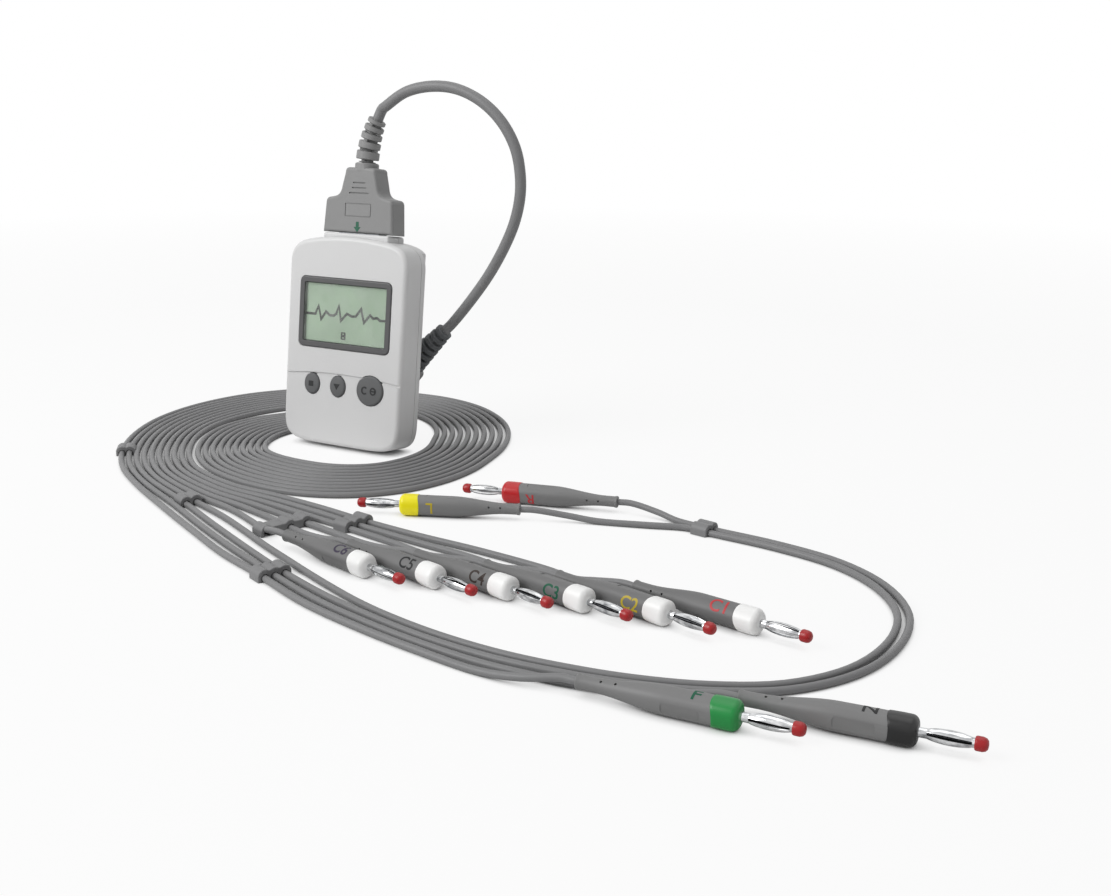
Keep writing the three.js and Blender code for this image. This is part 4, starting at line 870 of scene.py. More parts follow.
@dataclass(frozen=True)
class ClearLens(Finish):
    """Thin clear window with a faint film on it."""

    name: str = "clear_lens"
    film_dark: Colour = (214, 224, 214)
    film_pale: Colour = (236, 240, 236)
    film_scale: float = 140.0
    film_gloss: float = 0.16
    film_cover: float = 0.22

    def paint(self, wiring: Wiring, shader: bpy.types.Node) -> None:
        """Sets up the shader.

        Args:
            wiring: nodes of the material.
            shader: its Principled shader.
        """
        film = wiring.noise(wiring.where(), self.film_scale, 4.0)
        shade = wiring.mix(film, linear(self.film_dark), linear(self.film_pale))
        wiring.feed(shader.inputs["Base Color"], shade)
        wiring.feed(shader.inputs["Roughness"], wiring.math("MULTIPLY", film, self.film_gloss))
        wiring.feed(shader.inputs["Alpha"], wiring.math("MULTIPLY", film, self.film_cover))


@dataclass(frozen=True)
class Board(Finish):
    """Solder mask over copper tracks."""

    name: str = "solder_mask"
    mask: Colour = (26, 78, 46)
    track: Colour = (58, 118, 70)
    track_scale: float = 260.0
    track_ramp: Point2 = (0.1, 0.06)
    grain: float = 300.0
    base_gloss: float = 0.1
    relief: float = 0.03

    def paint(self, wiring: Wiring, shader: bpy.types.Node) -> None:
        """Sets up the shader.

        Args:
            wiring: nodes of the material.
            shader: its Principled shader.
        """
        where = wiring.where()
        cells = wiring.node("ShaderNodeTexVoronoi", feature="DISTANCE_TO_EDGE", distance="EUCLIDEAN")
        wiring.feed(cells.inputs["Vector"], where)
        cells.inputs["Scale"].default_value = self.track_scale
        tracks = wiring.ramp(cells.outputs["Distance"], *self.track_ramp)
        colour = wiring.mix(tracks, linear(self.mask), linear(self.track))
        wiring.feed(shader.inputs["Base Color"], colour)
        gloss = wiring.math("ADD", wiring.noise(where, self.grain), self.base_gloss)
        wiring.feed(shader.inputs["Roughness"], gloss)
        add_relief(wiring, shader, tracks, self.relief)


@dataclass(frozen=True)
class CellWrap(Finish):
    """Shrunk wrap of a dry cell, with a copper-coloured band round its far quarter."""

    name: str = "cell_wrap"
    band_from: float = 9.0
    wrap: Colour = (38, 62, 88)
    band: Colour = (176, 116, 66)
    scuff: Colour = (150, 156, 160)
    scuff_scale: float = 700.0
    scuff_ramp: Point2 = (0.66, 0.8)
    gloss: float = 0.6

    def paint(self, wiring: Wiring, shader: bpy.types.Node) -> None:
        """Sets up the shader.

        Args:
            wiring: nodes of the material.
            shader: its Principled shader.
        """
        where = wiring.where()
        parts = wiring.node("ShaderNodeSeparateXYZ")
        wiring.feed(parts.inputs[0], where)
        band = wiring.math("GREATER_THAN", parts.outputs["X"], self.band_from * MM)
        scuffs = wiring.noise(where, self.scuff_scale, 5.0)
        colour = wiring.mix(band, linear(self.wrap), linear(self.band))
        colour = wiring.mix(wiring.ramp(scuffs, *self.scuff_ramp), colour, linear(self.scuff))
        wiring.feed(shader.inputs["Base Color"], colour)
        wiring.feed(shader.inputs["Roughness"], wiring.math("MULTIPLY", scuffs, self.gloss))


SHELL = Moulding("shell_plastic", (218, 218, 218), 0.42, 0.1, 2600.0, 0.012, 0.03, 0.0, 0.12)
BEZEL = Moulding("bezel_plastic", (84, 84, 85), 0.36, 0.1, 1500.0, 0.02, 0.08, 0.3, 0.3)
KEY = Moulding("key_rubber", (94, 95, 96), 0.62, 0.1, 2200.0, 0.03, 0.08, 0.2, 0.3)
KEY_MARK = Moulding("key_print", (22, 23, 24), 0.6, 0.1, 2200.0, 0.01, 0.05, 0.0, 0.0)
CABLE = Moulding("cable_jacket", (125, 125, 126), 0.5, 0.14, 900.0, 0.04, 0.12, 0.1, 0.5)
HOOD = Moulding("hood_moulding", (138, 138, 138), 0.52, 0.12, 1300.0, 0.04, 0.1, 0.2, 0.5)
DARK_BOOT = Moulding("dark_boot", (92, 94, 96), 0.6, 0.12, 1200.0, 0.04, 0.1, 0.3, 0.4)
HANDLE = Moulding("handle_rubber", (122, 122, 122), 0.5, 0.14, 1300.0, 0.035, 0.1, 0.25, 0.4)
# Same rubber as the handles, made darker for the chest row: painted shade.
SHADED_HANDLE = Moulding("handle_rubber_painted_shade", (108, 108, 108), 0.5, 0.14, 1300.0, 0.035, 0.1, 0.25, 0.4)
SOCKET = Moulding("socket_plastic", (44, 46, 49), 0.5, 0.15, 1500.0, 0.03, 0.1, 0.4, 0.2)
MAT = Moulding("mat_rubber", (96, 98, 100), 0.7, 0.1, 1500.0, 0.03, 0.1, 0.0, 0.2)
STEEL = Metal("bright_steel", (190, 193, 197), (150, 153, 158), 0.25, 0.2, (1500.0, 1500.0, 200.0))
CHROME = Metal("plated_pin", (236, 237, 238), (128, 130, 133), 0.06, 0.08, (260.0, 700.0, 700.0), 0.003)
# Dark metal for the pin's core, so that the slots between the leaves read dark: painted shade.
PIN_SHADE_CORE = Metal("pin_shade_core", (58, 59, 61), (26, 27, 29), 0.3, 0.2, (700.0, 700.0, 1600.0), 0.01)
TIP_RED = Moulding("tip_red", (166, 10, 18), 0.35, 0.1, 1300.0, 0.02, 0.12, 0.3, 0.3)
INK_DARK = Moulding("display_ink", (2, 6, 5), 0.6, 0.05, 2000.0, 0.005, 0.05, 0.0, 0.0)


def print_ink(name: str, colour: Colour, roughness: float = 0.5) -> Moulding:
    """Flat printing ink, without worn edges or painted shade in hollows."""
    return Moulding(name, colour, roughness, 0.1, 2000.0, 0.01, 0.1, 0.0, 0.0)


ARROW_GREEN = print_ink("arrow_green", (18, 88, 64))


class CapFinish(Enum):
    """Moulded colours of the plug caps."""

    RED = Moulding("cap_red", (196, 30, 36), 0.34, 0.1, 1300.0, 0.02, 0.1, 0.3, 0.3)
    YELLOW = Moulding("cap_yellow", (255, 242, 10), 0.36, 0.1, 1300.0, 0.02, 0.08, 0.2, 0.3)
    GREEN = Moulding("cap_green", (4, 136, 58), 0.36, 0.1, 1300.0, 0.02, 0.1, 0.3, 0.3)
    BLACK = Moulding("cap_black", (9, 9, 10), 0.36, 0.1, 1300.0, 0.02, 0.1, 0.4, 0.1)
    WHITE = Moulding("cap_white", (252, 252, 251), 0.36, 0.1, 1300.0, 0.02, 0.05, 0.0, 0.2)


class Ink(Enum):
    """Printed colours of the lead codes."""

    RED = print_ink("ink_red", (190, 44, 50))
    YELLOW = print_ink("ink_yellow", (190, 168, 30))
    GREEN = print_ink("ink_green", (0, 84, 58), 0.7)
    BLACK = print_ink("ink_black", (3, 4, 6), 0.7)
    BROWN = print_ink("ink_brown", (38, 24, 16), 0.7)
    # Violet print darkened almost to black: violet ink with painted shade.
    SHADED_VIOLET = print_ink("ink_shaded_violet", (46, 38, 60), 0.7)


# Stage


@dataclass
class Stage:
    """Floor, lights, background and camera."""

    eye: Point3 = (0.4162, -0.534918, 0.187)
    heading: Point2 = (-0.4867, 0.8733)
    pitch: float = 15.84
    focal_pixels: float = 1315.3
    image_width: float = 1111.0
    sensor: float = 36.0
    floor_half: float = 4.0
    ambient: float = 0.31
    aim: Point3 = (0.08, -0.05, 0.03)
    lamps: tuple[tuple[str, Point3, float, float], ...] = (
        ("key_light", (-0.72, -1.1, 1.0), 0.9, 16.0),
        ("fill_light", (1.3, -0.4, 0.7), 1.2, 0.6),
        ("top_light", (0.1, 0.3, 1.6), 1.4, 6.0),
    )
    view_range: Point2 = (0.02, 40.0)
    floor_colour: Colour = (240, 240, 240)
    floor_roughness: float = 0.9
    floor_specular: float = 0.1
    floor_glow: float = 0.88
    floor_gap: float = 0.006
    gap_ramp: Point2 = (0.15, 0.75)
    fade: Point2 = (0.5, 1.3)

    def build(self) -> None:
        """Makes all of it."""
        self.camera()
        self.floor()
        self.world()
        for lamp in self.lamps:
            self.lamp(*lamp)
        bpy.context.scene.view_settings.view_transform = "Standard"

    def camera(self) -> None:
        """Sets the camera at the place that the photograph was taken from."""
        data = bpy.data.cameras.new("camera")
        data.sensor_width = self.sensor
        data.lens = self.sensor * self.focal_pixels / self.image_width
        data.clip_start, data.clip_end = self.view_range
        camera = linked("camera", data)
        drop = math.radians(self.pitch)
        level = math.cos(drop)
        way = Vector((self.heading[0] * level, self.heading[1] * level, -math.sin(drop)))
        camera.location = self.eye
        camera.rotation_euler = way.to_track_quat("-Z", "Y").to_euler()
        bpy.context.scene.camera = camera

    def floor(self) -> None:
        """Lays a plain pale floor that keeps a soft shadow, darker in narrow gaps, white far off."""
        half = self.floor_half
        corners = [(-half, -half, 0), (half, -half, 0), (half, half, 0), (-half, half, 0)]
        floor = mesh_piece("floor", corners, [(0, 1, 2, 3)])
        material, wiring, shader = blank_material("pale_floor")
        shader.inputs["Base Color"].default_value = linear(self.floor_colour)
        shader.inputs["Roughness"].default_value = self.floor_roughness
        shader.inputs["Specular IOR Level"].default_value = self.floor_specular
        glow = wiring.node("ShaderNodeEmission")
        glow.inputs["Strength"].default_value = 1.0
        path = wiring.node("ShaderNodeLightPath")
        gap = wiring.node("ShaderNodeAmbientOcclusion")
        gap.inputs["Distance"].default_value = self.floor_gap
        open_share = wiring.ramp(gap.outputs["AO"], *self.gap_ramp)
        away = wiring.node("ShaderNodeVectorMath", operation="LENGTH")
        wiring.feed(away.inputs[0], wiring.where())
        far = wiring.ramp(away.outputs["Value"], *self.fade)
        glow_share = wiring.math("MULTIPLY", far, 1 - self.floor_glow)
        glow_share = wiring.math("ADD", self.floor_glow, glow_share)
        glow_share = wiring.math("MULTIPLY", glow_share, open_share)
        share = wiring.math("MULTIPLY", path.outputs["Is Camera Ray"], glow_share)
        blend = wiring.node("ShaderNodeMixShader")
        wiring.feed(blend.inputs[0], share)
        wiring.feed(blend.inputs[1], shader.outputs[0])
        wiring.feed(blend.inputs[2], glow.outputs[0])
        out = material.node_tree.nodes["Material Output"]
        wiring.feed(out.inputs["Surface"], blend.outputs[0])
        floor.data.materials.append(material)

    def world(self) -> None:
        """White background where the camera, gloss or glass sees it, and an even ambient light."""
        world = bpy.data.worlds.new("studio")
        world.use_nodes = True
        bpy.context.scene.world = world
        wiring = Wiring(world.node_tree)
        back = world.node_tree.nodes["Background"]
        back.inputs["Color"].default_value = (1, 1, 1, 1)
        path = wiring.node("ShaderNodeLightPath")
        seen = wiring.math("MAXIMUM", path.outputs["Is Camera Ray"], path.outputs["Is Glossy Ray"])
        seen = wiring.math("MAXIMUM", seen, path.outputs["Is Transmission Ray"])
        extra = wiring.math("MULTIPLY", seen, 1 - self.ambient)
        wiring.feed(back.inputs["Strength"], wiring.math("ADD", extra, self.ambient))

    def lamp(self, name: str, place: Sequence[float], size: float, watts: float) -> None:
        """A square lamp that looks at the object.

        Args:
            name: name of the lamp.
            place: where it stands, in metres.
            size: its side.
            watts: its power.
        """
        data = bpy.data.lights.new(name, "AREA")
        data.size = size
        data.energy = watts
        lamp = linked(name, data)
        lamp.location = place
        aim = Vector(self.aim) - Vector(place)
        lamp.rotation_euler = aim.to_track_quat("-Z", "Y").to_euler()


# Cords


@dataclass
class Route:
    """A smooth way through points in millimetres, in the frame of the floor."""

    points: list[Vector]

    def handles(self) -> list[tuple[Vector, Vector]]:
        """Handles of the centripetal curve through the points.

        Returns:
            Left and right handle of each point.
        """
        count = len(self.points)
        left = [point.copy() for point in self.points]
        right = [point.copy() for point in self.points]
        for i in range(count - 1):
            here, there = self.points[i], self.points[i + 1]
            before = self.points[i - 1] if i else here * 2 - there
            after = self.points[i + 2] if i + 2 < count else there * 2 - here
            span = [
                max(1e-4, math.sqrt((b - a).length))
                for a, b in ((before, here), (here, there), (there, after))
            ]
            leave = (
                (here - before) / span[0] - (there - before) / (span[0] + span[1])
                + (there - here) / span[1]
            ) * span[1]
            arrive = (
                (there - here) / span[1] - (after - here) / (span[1] + span[2])
                + (after - there) / span[2]
            ) * span[1]
            right[i] = here + leave / 3
            left[i + 1] = there - arrive / 3
        return list(zip(left, right))

    def dense(self, steps: int = 5) -> list[Vector]:
        """Points close together on the curve.

        Args:
            steps: parts between two points of the route.

        Returns:
            The points.
        """
        handles = self.handles()
        line = [self.points[0].copy()]
        for i in range(len(self.points) - 1):
            knots = [self.points[i], handles[i][1], handles[i + 1][0], self.points[i + 1]]
            for step in range(1, steps + 1):
                t = step / steps
                u = 1 - t
                line.append(
                    knots[0] * u**3 + knots[1] * (3 * u * u * t)
                    + knots[2] * (3 * u * t * t) + knots[3] * t**3
                )
        return line

    def length(self) -> float:
        """Length of the curve in millimetres."""
        line = self.dense()
        return sum((b - a).length for a, b in zip(line, line[1:]))

    def tube(self, name: str, diameter: float, node: str, resolution: int = 5) -> Piece:
        """Makes a round cord along the route.

        Args:
            name: name of the piece.
            diameter: its thickness.
            node: CAD node that it replaces.
            resolution: parts between two points.

        Returns:
            The curve object.
        """
        scale = Matrix.Scale(MM, 4) @ FLOOR_FRAME
        curve = bpy.data.curves.new(name, "CURVE")
        curve.dimensions = "3D"
        curve.bevel_depth = diameter / 2 * MM
        curve.bevel_resolution = 4
        curve.resolution_u = resolution
        curve.use_fill_caps = True
        curve.twist_mode = "MINIMUM"
        spline = curve.splines.new("BEZIER")
        spline.bezier_points.add(len(self.points) - 1)
        for knot, point, (left, right) in zip(spline.bezier_points, self.points, self.handles()):
            knot.handle_left_type = "FREE"
            knot.handle_right_type = "FREE"
            knot.co = scale @ point
            knot.handle_left = scale @ left
            knot.handle_right = scale @ right
        spline.use_smooth = True
        piece = linked(name, curve)
        curve.materials.append(CABLE.material())
        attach(piece, BODY)
        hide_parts(node)
        LOG.info("%s: %.0f mm long", name, self.length())
        return piece


def straight_end(point: Vector, way: Vector, distance: float) -> list[Vector]:
    """Two points straight out of an end: one just clear of it, one a little further."""
    unit = way.normalized()
    return [point + unit * CLEARANCE, point + unit * (CLEARANCE + distance)]


@dataclass
class TrunkCable:
    """The thick cable that arches from the connector to the junction box behind the case."""

    diameter: float = 5.4
    length: float = 0.27
    socket: Point3 = (1.5, 0.0, 109.0)
    hidden_start: Point3 = (1.5, 0.0, 131.0)
    hidden_end: float = 4.0
    arch: tuple[Point3, ...] = (
        (13, 23, 172), (25, 23.3, 178.8), (40.3, 23.6, 181.6), (54.8, 24, 180.3),
        (68.9, 24.2, 174.3), (79.8, 24.4, 164.9), (86.8, 24.5, 153.3), (89.3, 24.6, 141.6),
        (89.1, 24.7, 130.8), (86, 24.8, 118.6), (80, 24.9, 106.1), (70.9, 25, 91.8),
        (60.1, 25.1, 78.3),
    )

    def route(self) -> Route:
        """Way of the cable from inside the hood to inside the junction box.

        Returns:
            The route.
        """
        root, bend, start = [UNIT_ON_FLOOR @ Vector((x, 0, z)) for x, z in HOOD_BOOT_LINE]
        end = JUNCTION_ON_FLOOR @ Vector((JUNCTION_BOOT_LENGTH, 0, 0))
        box = JUNCTION_ON_FLOOR @ Vector((0, 0, 0))
        middle = root * 0.25 + bend * 0.5 + start * 0.25
        inside = [UNIT_ON_FLOOR @ Vector(self.hidden_start), root, middle]
        head = straight_end(start, start - bend, self.diameter)
        tail = straight_end(end, end - box, self.diameter)
        arch = [Vector(point) for point in self.arch]
        deep = box + (box - end).normalized() * self.hidden_end
        return Route([*inside, *head, *arch, *reversed(tail), box, deep])

    def build(self, with_pieces: Sequence[Piece]) -> None:
        """Args:
            with_pieces: not used.
        """
        piece = self.route().tube("trunk_cable_jacket", self.diameter, "trunk_cable", 8)
        exit_point = MM * (UNIT_FRAME @ Vector(self.socket))


@dataclass(frozen=True)
class Lead:
    """One lead: its code, where its plug lies and how far it is rolled, and its colours."""

    code: str
    tip: Point2
    heading: float
    cap: CapFinish
    ink: Ink
    length: float
    roll: float


@dataclass(frozen=True)
class Clip:
    """A joiner over neighbouring leads."""

    name: str
    near: Point2
    leads: tuple[int, ...]
    node: str = ""


CHEST_TIP = (141.9, -152.6)
CHEST_STEP = (30.0, 3.5)
CHEST_HEADING = -14.0


def chest_tip(place: int) -> Point2:
    """Tip of a plug in the row of chest leads."""
    return (CHEST_TIP[0] + place * CHEST_STEP[0], CHEST_TIP[1] + place * CHEST_STEP[1])


LEADS = (
    Lead("F", (312.4, -192.2), 3.0, CapFinish.GREEN, Ink.GREEN, 1.18, 10),
    Lead("N", (360.4, -175.6), 5.0, CapFinish.BLACK, Ink.BLACK, 1.19, -2),
    Lead("R", (99.2, -45.3), 192.5, CapFinish.RED, Ink.RED, 1.42, -104),
    Lead("L", (69.8, -85.7), 201.1, CapFinish.YELLOW, Ink.YELLOW, 1.4, -88),
    Lead("C6", chest_tip(0), CHEST_HEADING, CapFinish.WHITE, Ink.SHADED_VIOLET, 0.85, 22),
    Lead("C5", chest_tip(1), CHEST_HEADING, CapFinish.WHITE, Ink.BLACK, 0.83, 47),
    Lead("C4", chest_tip(2), CHEST_HEADING, CapFinish.WHITE, Ink.BROWN, 0.82, 66),
    Lead("C3", chest_tip(3), CHEST_HEADING, CapFinish.WHITE, Ink.GREEN, 0.81, 78),
    Lead("C2", chest_tip(4), CHEST_HEADING, CapFinish.WHITE, Ink.YELLOW, 0.8, 78),
    Lead("C1", (292.8, -128.8), -10.0, CapFinish.WHITE, Ink.RED, 0.79, 43),
)


LIMB_JOINER = (87, -164.3)
ARM_JOINER = (214, -36.2)
ARM_LOOP = (
    (252, -181.5), (275, -174.2), (296, -161.5), (311, -140), (316.5, -113), (312.5, -86),
    (298, -63.5), (277, -48.5), (249, -40.6),
)


@dataclass
class LeadSet:
    """The ten lead wires from the junction box through the coil to their plugs."""

    diameter: float = 2.8
    floor_room: float = 0.1
    per_row: int = 5
    pitch: float = 5.4
    row_pitch: float = 7.0
    box_length: float = 35.0
    collet: float = 3.0
    coil_centre: Point2 = (0.0, 2.0)
    coil_start: float = 156.0
    coil_end: float = 612.0
    coil_step: float = 15.0
    stations: tuple[Point3, ...] = (
        (156, 41, 74), (180, 44, 81), (225, 45.5, 79), (252, 43, 80), (270, 42, 82.5),
        (300, 45, 90), (318, 46.5, 90.5), (342, 44.5, 85), (365, 42.5, 79), (395, 42, 81),
        (425, 50, 90), (450, 61, 101), (478, 74, 112), (505, 87, 128), (520, 89, 130.5),
        (540, 89, 127.5), (555, 87, 122.5), (578, 83.5, 117), (600, 84, 116), (612, 85.2, 117.5),
    )
    fan_radius: float = 10.0
    fan_straight: tuple[float, ...] = (0.3, 0.55, 0.8)
    fan_turns: tuple[float, ...] = (90.0, 112.0, 134.0)
    fan_room: float = 4.0
    fan_sag: Point2 = (0.3, 1.1)
    fan_spread: Point2 = (2.6, 3.4)
    loop_pitch: float = 4.2
    plug_length: float = 73.0
    plug_axis: float = 4.8
    inside_plug: float = 20.0
    joiner_length: float = 8.0
    joiner_height: float = 5.0
    joiner_wall: float = 1.2
    joiner_pitch: float = 4.3
    joiner_foot: float = 0.15
    barrel_start: Point2 = (8.0, 40.0)
    joiner_edge: float = 0.5
    pieces: dict[int, Piece] = field(default_factory=dict)
    lines: dict[int, list[Vector]] = field(default_factory=dict)
    riders: dict[int, list[Piece]] = field(default_factory=dict)

    @property
    def lift(self) -> float:
        """Height of the middle of a lead that lies on the floor."""
        return self.diameter / 2 + self.floor_room

    @property
    def count(self) -> int:
        """Number of leads."""
        return 2 * self.per_row

    def exit(self, lead: int) -> Vector:
        """Where a lead leaves the junction box, in the frame of the box."""
        row = 1 if lead < self.per_row else 0
        place = self.per_row - 1 - lead % self.per_row
        across = (place - (self.per_row - 1) / 2) * self.pitch
        return Vector((-self.box_length - self.collet, (row - 0.5) * self.row_pitch, across))

    def radius(self, angle: float, column: int) -> float:
        """Distance of the innermost (1) or outermost (2) lead from the middle of the coil.

        Args:
            angle: angle about the middle of the coil, in degrees.
            column: 1 for the innermost and 2 for the outermost lead.

        Returns:
            The distance.
        """
        after = max(1, next((i for i, one in enumerate(self.stations) if one[0] >= angle), 1))
        low, high = self.stations[after - 1], self.stations[after]
        span = high[0] - low[0]
        share = (angle - low[0]) / span
        left = 1 - share
        bend = self.slope(after - 1, column) * left - self.slope(after, column) * share
        eased = lerp(low[column], high[column], smoothstep(share, 0, 1))
        return eased + share * left * bend * span

    def slope(self, station: int, column: int) -> float:
        """Growth of the coil at a station: towards its neighbours, and none at the ends."""
        if station in (0, len(self.stations) - 1):
            return 0.0
        before, after = self.stations[station - 1], self.stations[station + 1]
        return (after[column] - before[column]) / (after[0] - before[0])

    def coil(self, lead: int) -> list[Vector]:
        """Points of a lead in the coil."""
        points = []
        angle = self.coil_start
        while angle <= self.coil_end:
            inner, outer = self.radius(angle, 1), self.radius(angle, 2)
            size = lerp(outer, inner, lead / (self.count - 1))
            turn = math.radians(angle)
            points.append(Vector((
                self.coil_centre[0] + size * math.cos(turn),
                self.coil_centre[1] + size * math.sin(turn), self.lift,
            )))
            angle += self.coil_step
        return points

    def gates(self) -> tuple[list[tuple[Vector, Vector, float]], Vector, float]:
        """Gates between the junction box and the coil, on the way of the innermost lead.

        Returns:
            Place, side direction and distance of each gate, the start, and the whole distance.
        """
        start = JUNCTION_ON_FLOOR @ self.exit(self.count - 1)
        out = self.radius(self.coil_start, 1) - self.fan_radius
        turn = math.radians(self.coil_start)
        middle = Vector((
            self.coil_centre[0] + out * math.cos(turn), self.coil_centre[1] + out * math.sin(turn),
        ))
        straight = start.x - middle.x
        gates = []
        for share in self.fan_straight:
            side = lerp(start.y, middle.y + self.fan_radius, smoothstep(share, 0, 1))
            gates.append((Vector((start.x - share * straight, side)), Vector((0, 1)), share * straight))
        for angle in self.fan_turns:
            right = Vector((math.cos(math.radians(angle)), math.sin(math.radians(angle))))
            travelled = straight + self.fan_radius * math.radians(angle - 90)
            gates.append((middle + right * self.fan_radius, right, travelled))
        whole = straight + self.fan_radius * math.radians(self.coil_start - 90)
        return gates, start, whole

    def fan(self, lead: int) -> list[Vector]:
        """Points of a lead that drops from the junction box to its lane of the coil.

        Args:
            lead: number of the lead.

        Returns:
            The points.
        """
        gates, start, whole = self.gates()
        leaves = JUNCTION_ON_FLOOR @ self.exit(lead)
        before = start.x - leaves.x
        room = self.radius(self.coil_start, 2) - self.radius(self.coil_start, 1)
        lane_pitch = room / (self.count - 1)
        lane = (self.count - 1 - lead) * lane_pitch
        depth = (lead % self.per_row) / (self.per_row - 1)
        sag = lerp(self.fan_sag[1], self.fan_sag[0], depth)
        spread = lerp(self.fan_spread[0], self.fan_spread[1], depth)
        points = []
        for place, right, travelled in gates:
            if travelled <= before + self.fan_room:
                continue
            share = (travelled - before) / (whole - before)
            left = 1 - share
            aside = lerp(lane, leaves.y - start.y, left**spread)
            height = self.lift + (leaves.z - self.lift) * left**2 * (1 + sag * share)
            points.append(Vector((place.x + right.x * aside, place.y + right.y * aside, height)))
        return points

    def through(self, at: Point2, heading: float, lanes: Sequence[int], lead: int) -> list[Point2]:
        """Two points of a lead at the ends of a joiner.

        Args:
            at: middle of the joiner.
            heading: its direction in degrees.
            lanes: leads in it, from left to right.
            lead: number of the lead.

        Returns:
            The two points.
        """
        along = Vector((math.cos(math.radians(heading)), math.sin(math.radians(heading))))
        right = Vector((along.y, -along.x))
        offset = ((len(lanes) - 1) / 2 - lanes.index(lead)) * self.joiner_pitch
        half = self.joiner_length / 2 + self.diameter / 2
        places = [Vector(at) + along * step + right * offset for step in (-half, half)]
        return [(place.x, place.y) for place in places]

    def beside_loop(self, side: float) -> list[Point2]:
        """Points of an arm lead in the wide loop, on one side of its middle line."""
        points = []
        for i, (x, y) in enumerate(ARM_LOOP):
            before, after = ARM_LOOP[max(0, i - 1)], ARM_LOOP[min(len(ARM_LOOP) - 1, i + 1)]
            way = Vector((after[0] - before[0], after[1] - before[1])).normalized()
            shift = side * self.loop_pitch / 2
            points.append((x + way.y * shift, y - way.x * shift))
        return points

    def run(self, lead: int) -> list[tuple[float, ...]]:
        """Listed points of a lead from the coil to its plug: x, y and, off the floor, z.

        Args:
            lead: number of the lead.

        Returns:
            The points.
        """
        limb, arm = (LIMB_JOINER, -22.5, (0, 1, 2)), (ARM_JOINER, 171.0, (2, 3))
        runs = {
            0: [
                (-7, -126), (26, -142.5), (56, -157), *self.through(*limb, 0), (118, -181.5),
                (150, -190), (178, -195.5), (205, -199.2), (221, -199, 3),
            ],
            1: [
                (-5.7, -121), (25, -136.5), (57, -151.6), *self.through(*limb, 1), (119, -177),
                (151, -185.7), (178, -190.9), (205, -193.9), (232, -192.6), (255.5, -188.3),
                (269, -185.4, 3),
            ],
            2: [
                (-4.7, -116.2), (25, -130.9), (58, -146.6), *self.through(*limb, 2),
                (120.5, -172.4), (152, -181.2), (178, -186.4), (205, -188.7), (230, -187.3),
                *self.beside_loop(1), *self.through(*arm, 2), (199.5, -31), (189.5, -28.8, 3),
            ],
            3: [
                (-4.2, -111.4), (23, -121.8), (45, -132), (64, -141.3), (86, -151.2),
                (102, -158.3), (118, -165), (135, -171.5), (153, -176.8), (178, -181.9),
                (205, -184.2), (230, -182.9), *self.beside_loop(-1), *self.through(*arm, 3),
                (190, -43), (170, -48.6), (157, -52.2, 3),
            ],
            4: [(-4, -106.6), (20, -113), (39, -121), (52, -128.6, 2.8)],
            5: [(-3.6, -102.4), (22, -108), (46, -114.8), (67.5, -122), (81.7, -126.6, 2.8)],
            6: [
                (-3.2, -98.4), (24, -103.2), (50, -108.9), (76, -114.8), (97.5, -120),
                (111.7, -123.7, 2.8),
            ],
            7: [
                (-2.8, -94.4), (26, -98.4), (54, -103.2), (82, -108.3), (110, -114),
                (130, -118.6), (141.7, -120.1, 2.8),
            ],
            8: [
                (-2.4, -90.4), (27, -93.6), (56, -97.9), (82, -102.9), (112, -107.6),
                (145, -112.2), (163, -115.8), (172.7, -116.8, 2.8),
            ],
            9: [
                (-2, -86.4), (28, -88.8), (56, -92.6), (82, -97.5), (112, -101.5),
                (145, -104.3), (178, -109), (194, -112.8), (202.7, -113.6, 2.8),
            ],
        }
        return runs[lead]

    def route(self, lead: int) -> Route:
        """Whole way of a lead, from inside the junction box to inside its plug.

        Args:
            lead: number of the lead.

        Returns:
            The route.
        """
        leaves = JUNCTION_ON_FLOOR @ self.exit(lead)
        inside = JUNCTION_ON_FLOOR @ (self.exit(lead) + Vector((2, 0, 0)))
        heading = math.radians(LEADS[lead].heading)
        way = Vector((-math.cos(heading), -math.sin(heading), 0))
        tip = Vector((*LEADS[lead].tip, self.plug_axis))
        tail = tip + way * self.plug_length
        run = [Vector((*point, self.lift) if len(point) == 2 else point) for point in self.run(lead)]
        ends = straight_end(tail, way, 2 * self.diameter)
        return Route([
            inside, *straight_end(leaves, leaves - inside, self.diameter), *self.fan(lead),
            *self.coil(lead), *run, *reversed(ends), tail - way * self.inside_plug,
        ])

    def lay(self) -> None:
        """Makes the ten leads."""
        for lead, made in enumerate(LEADS):
            route = self.route(lead)
            name, node = f"lead_wire_{made.code}", f"lead_{made.code}"
            self.pieces[lead] = route.tube(name, self.diameter, node)
            self.lines[lead] = route.dense()
            self.riders[lead] = []

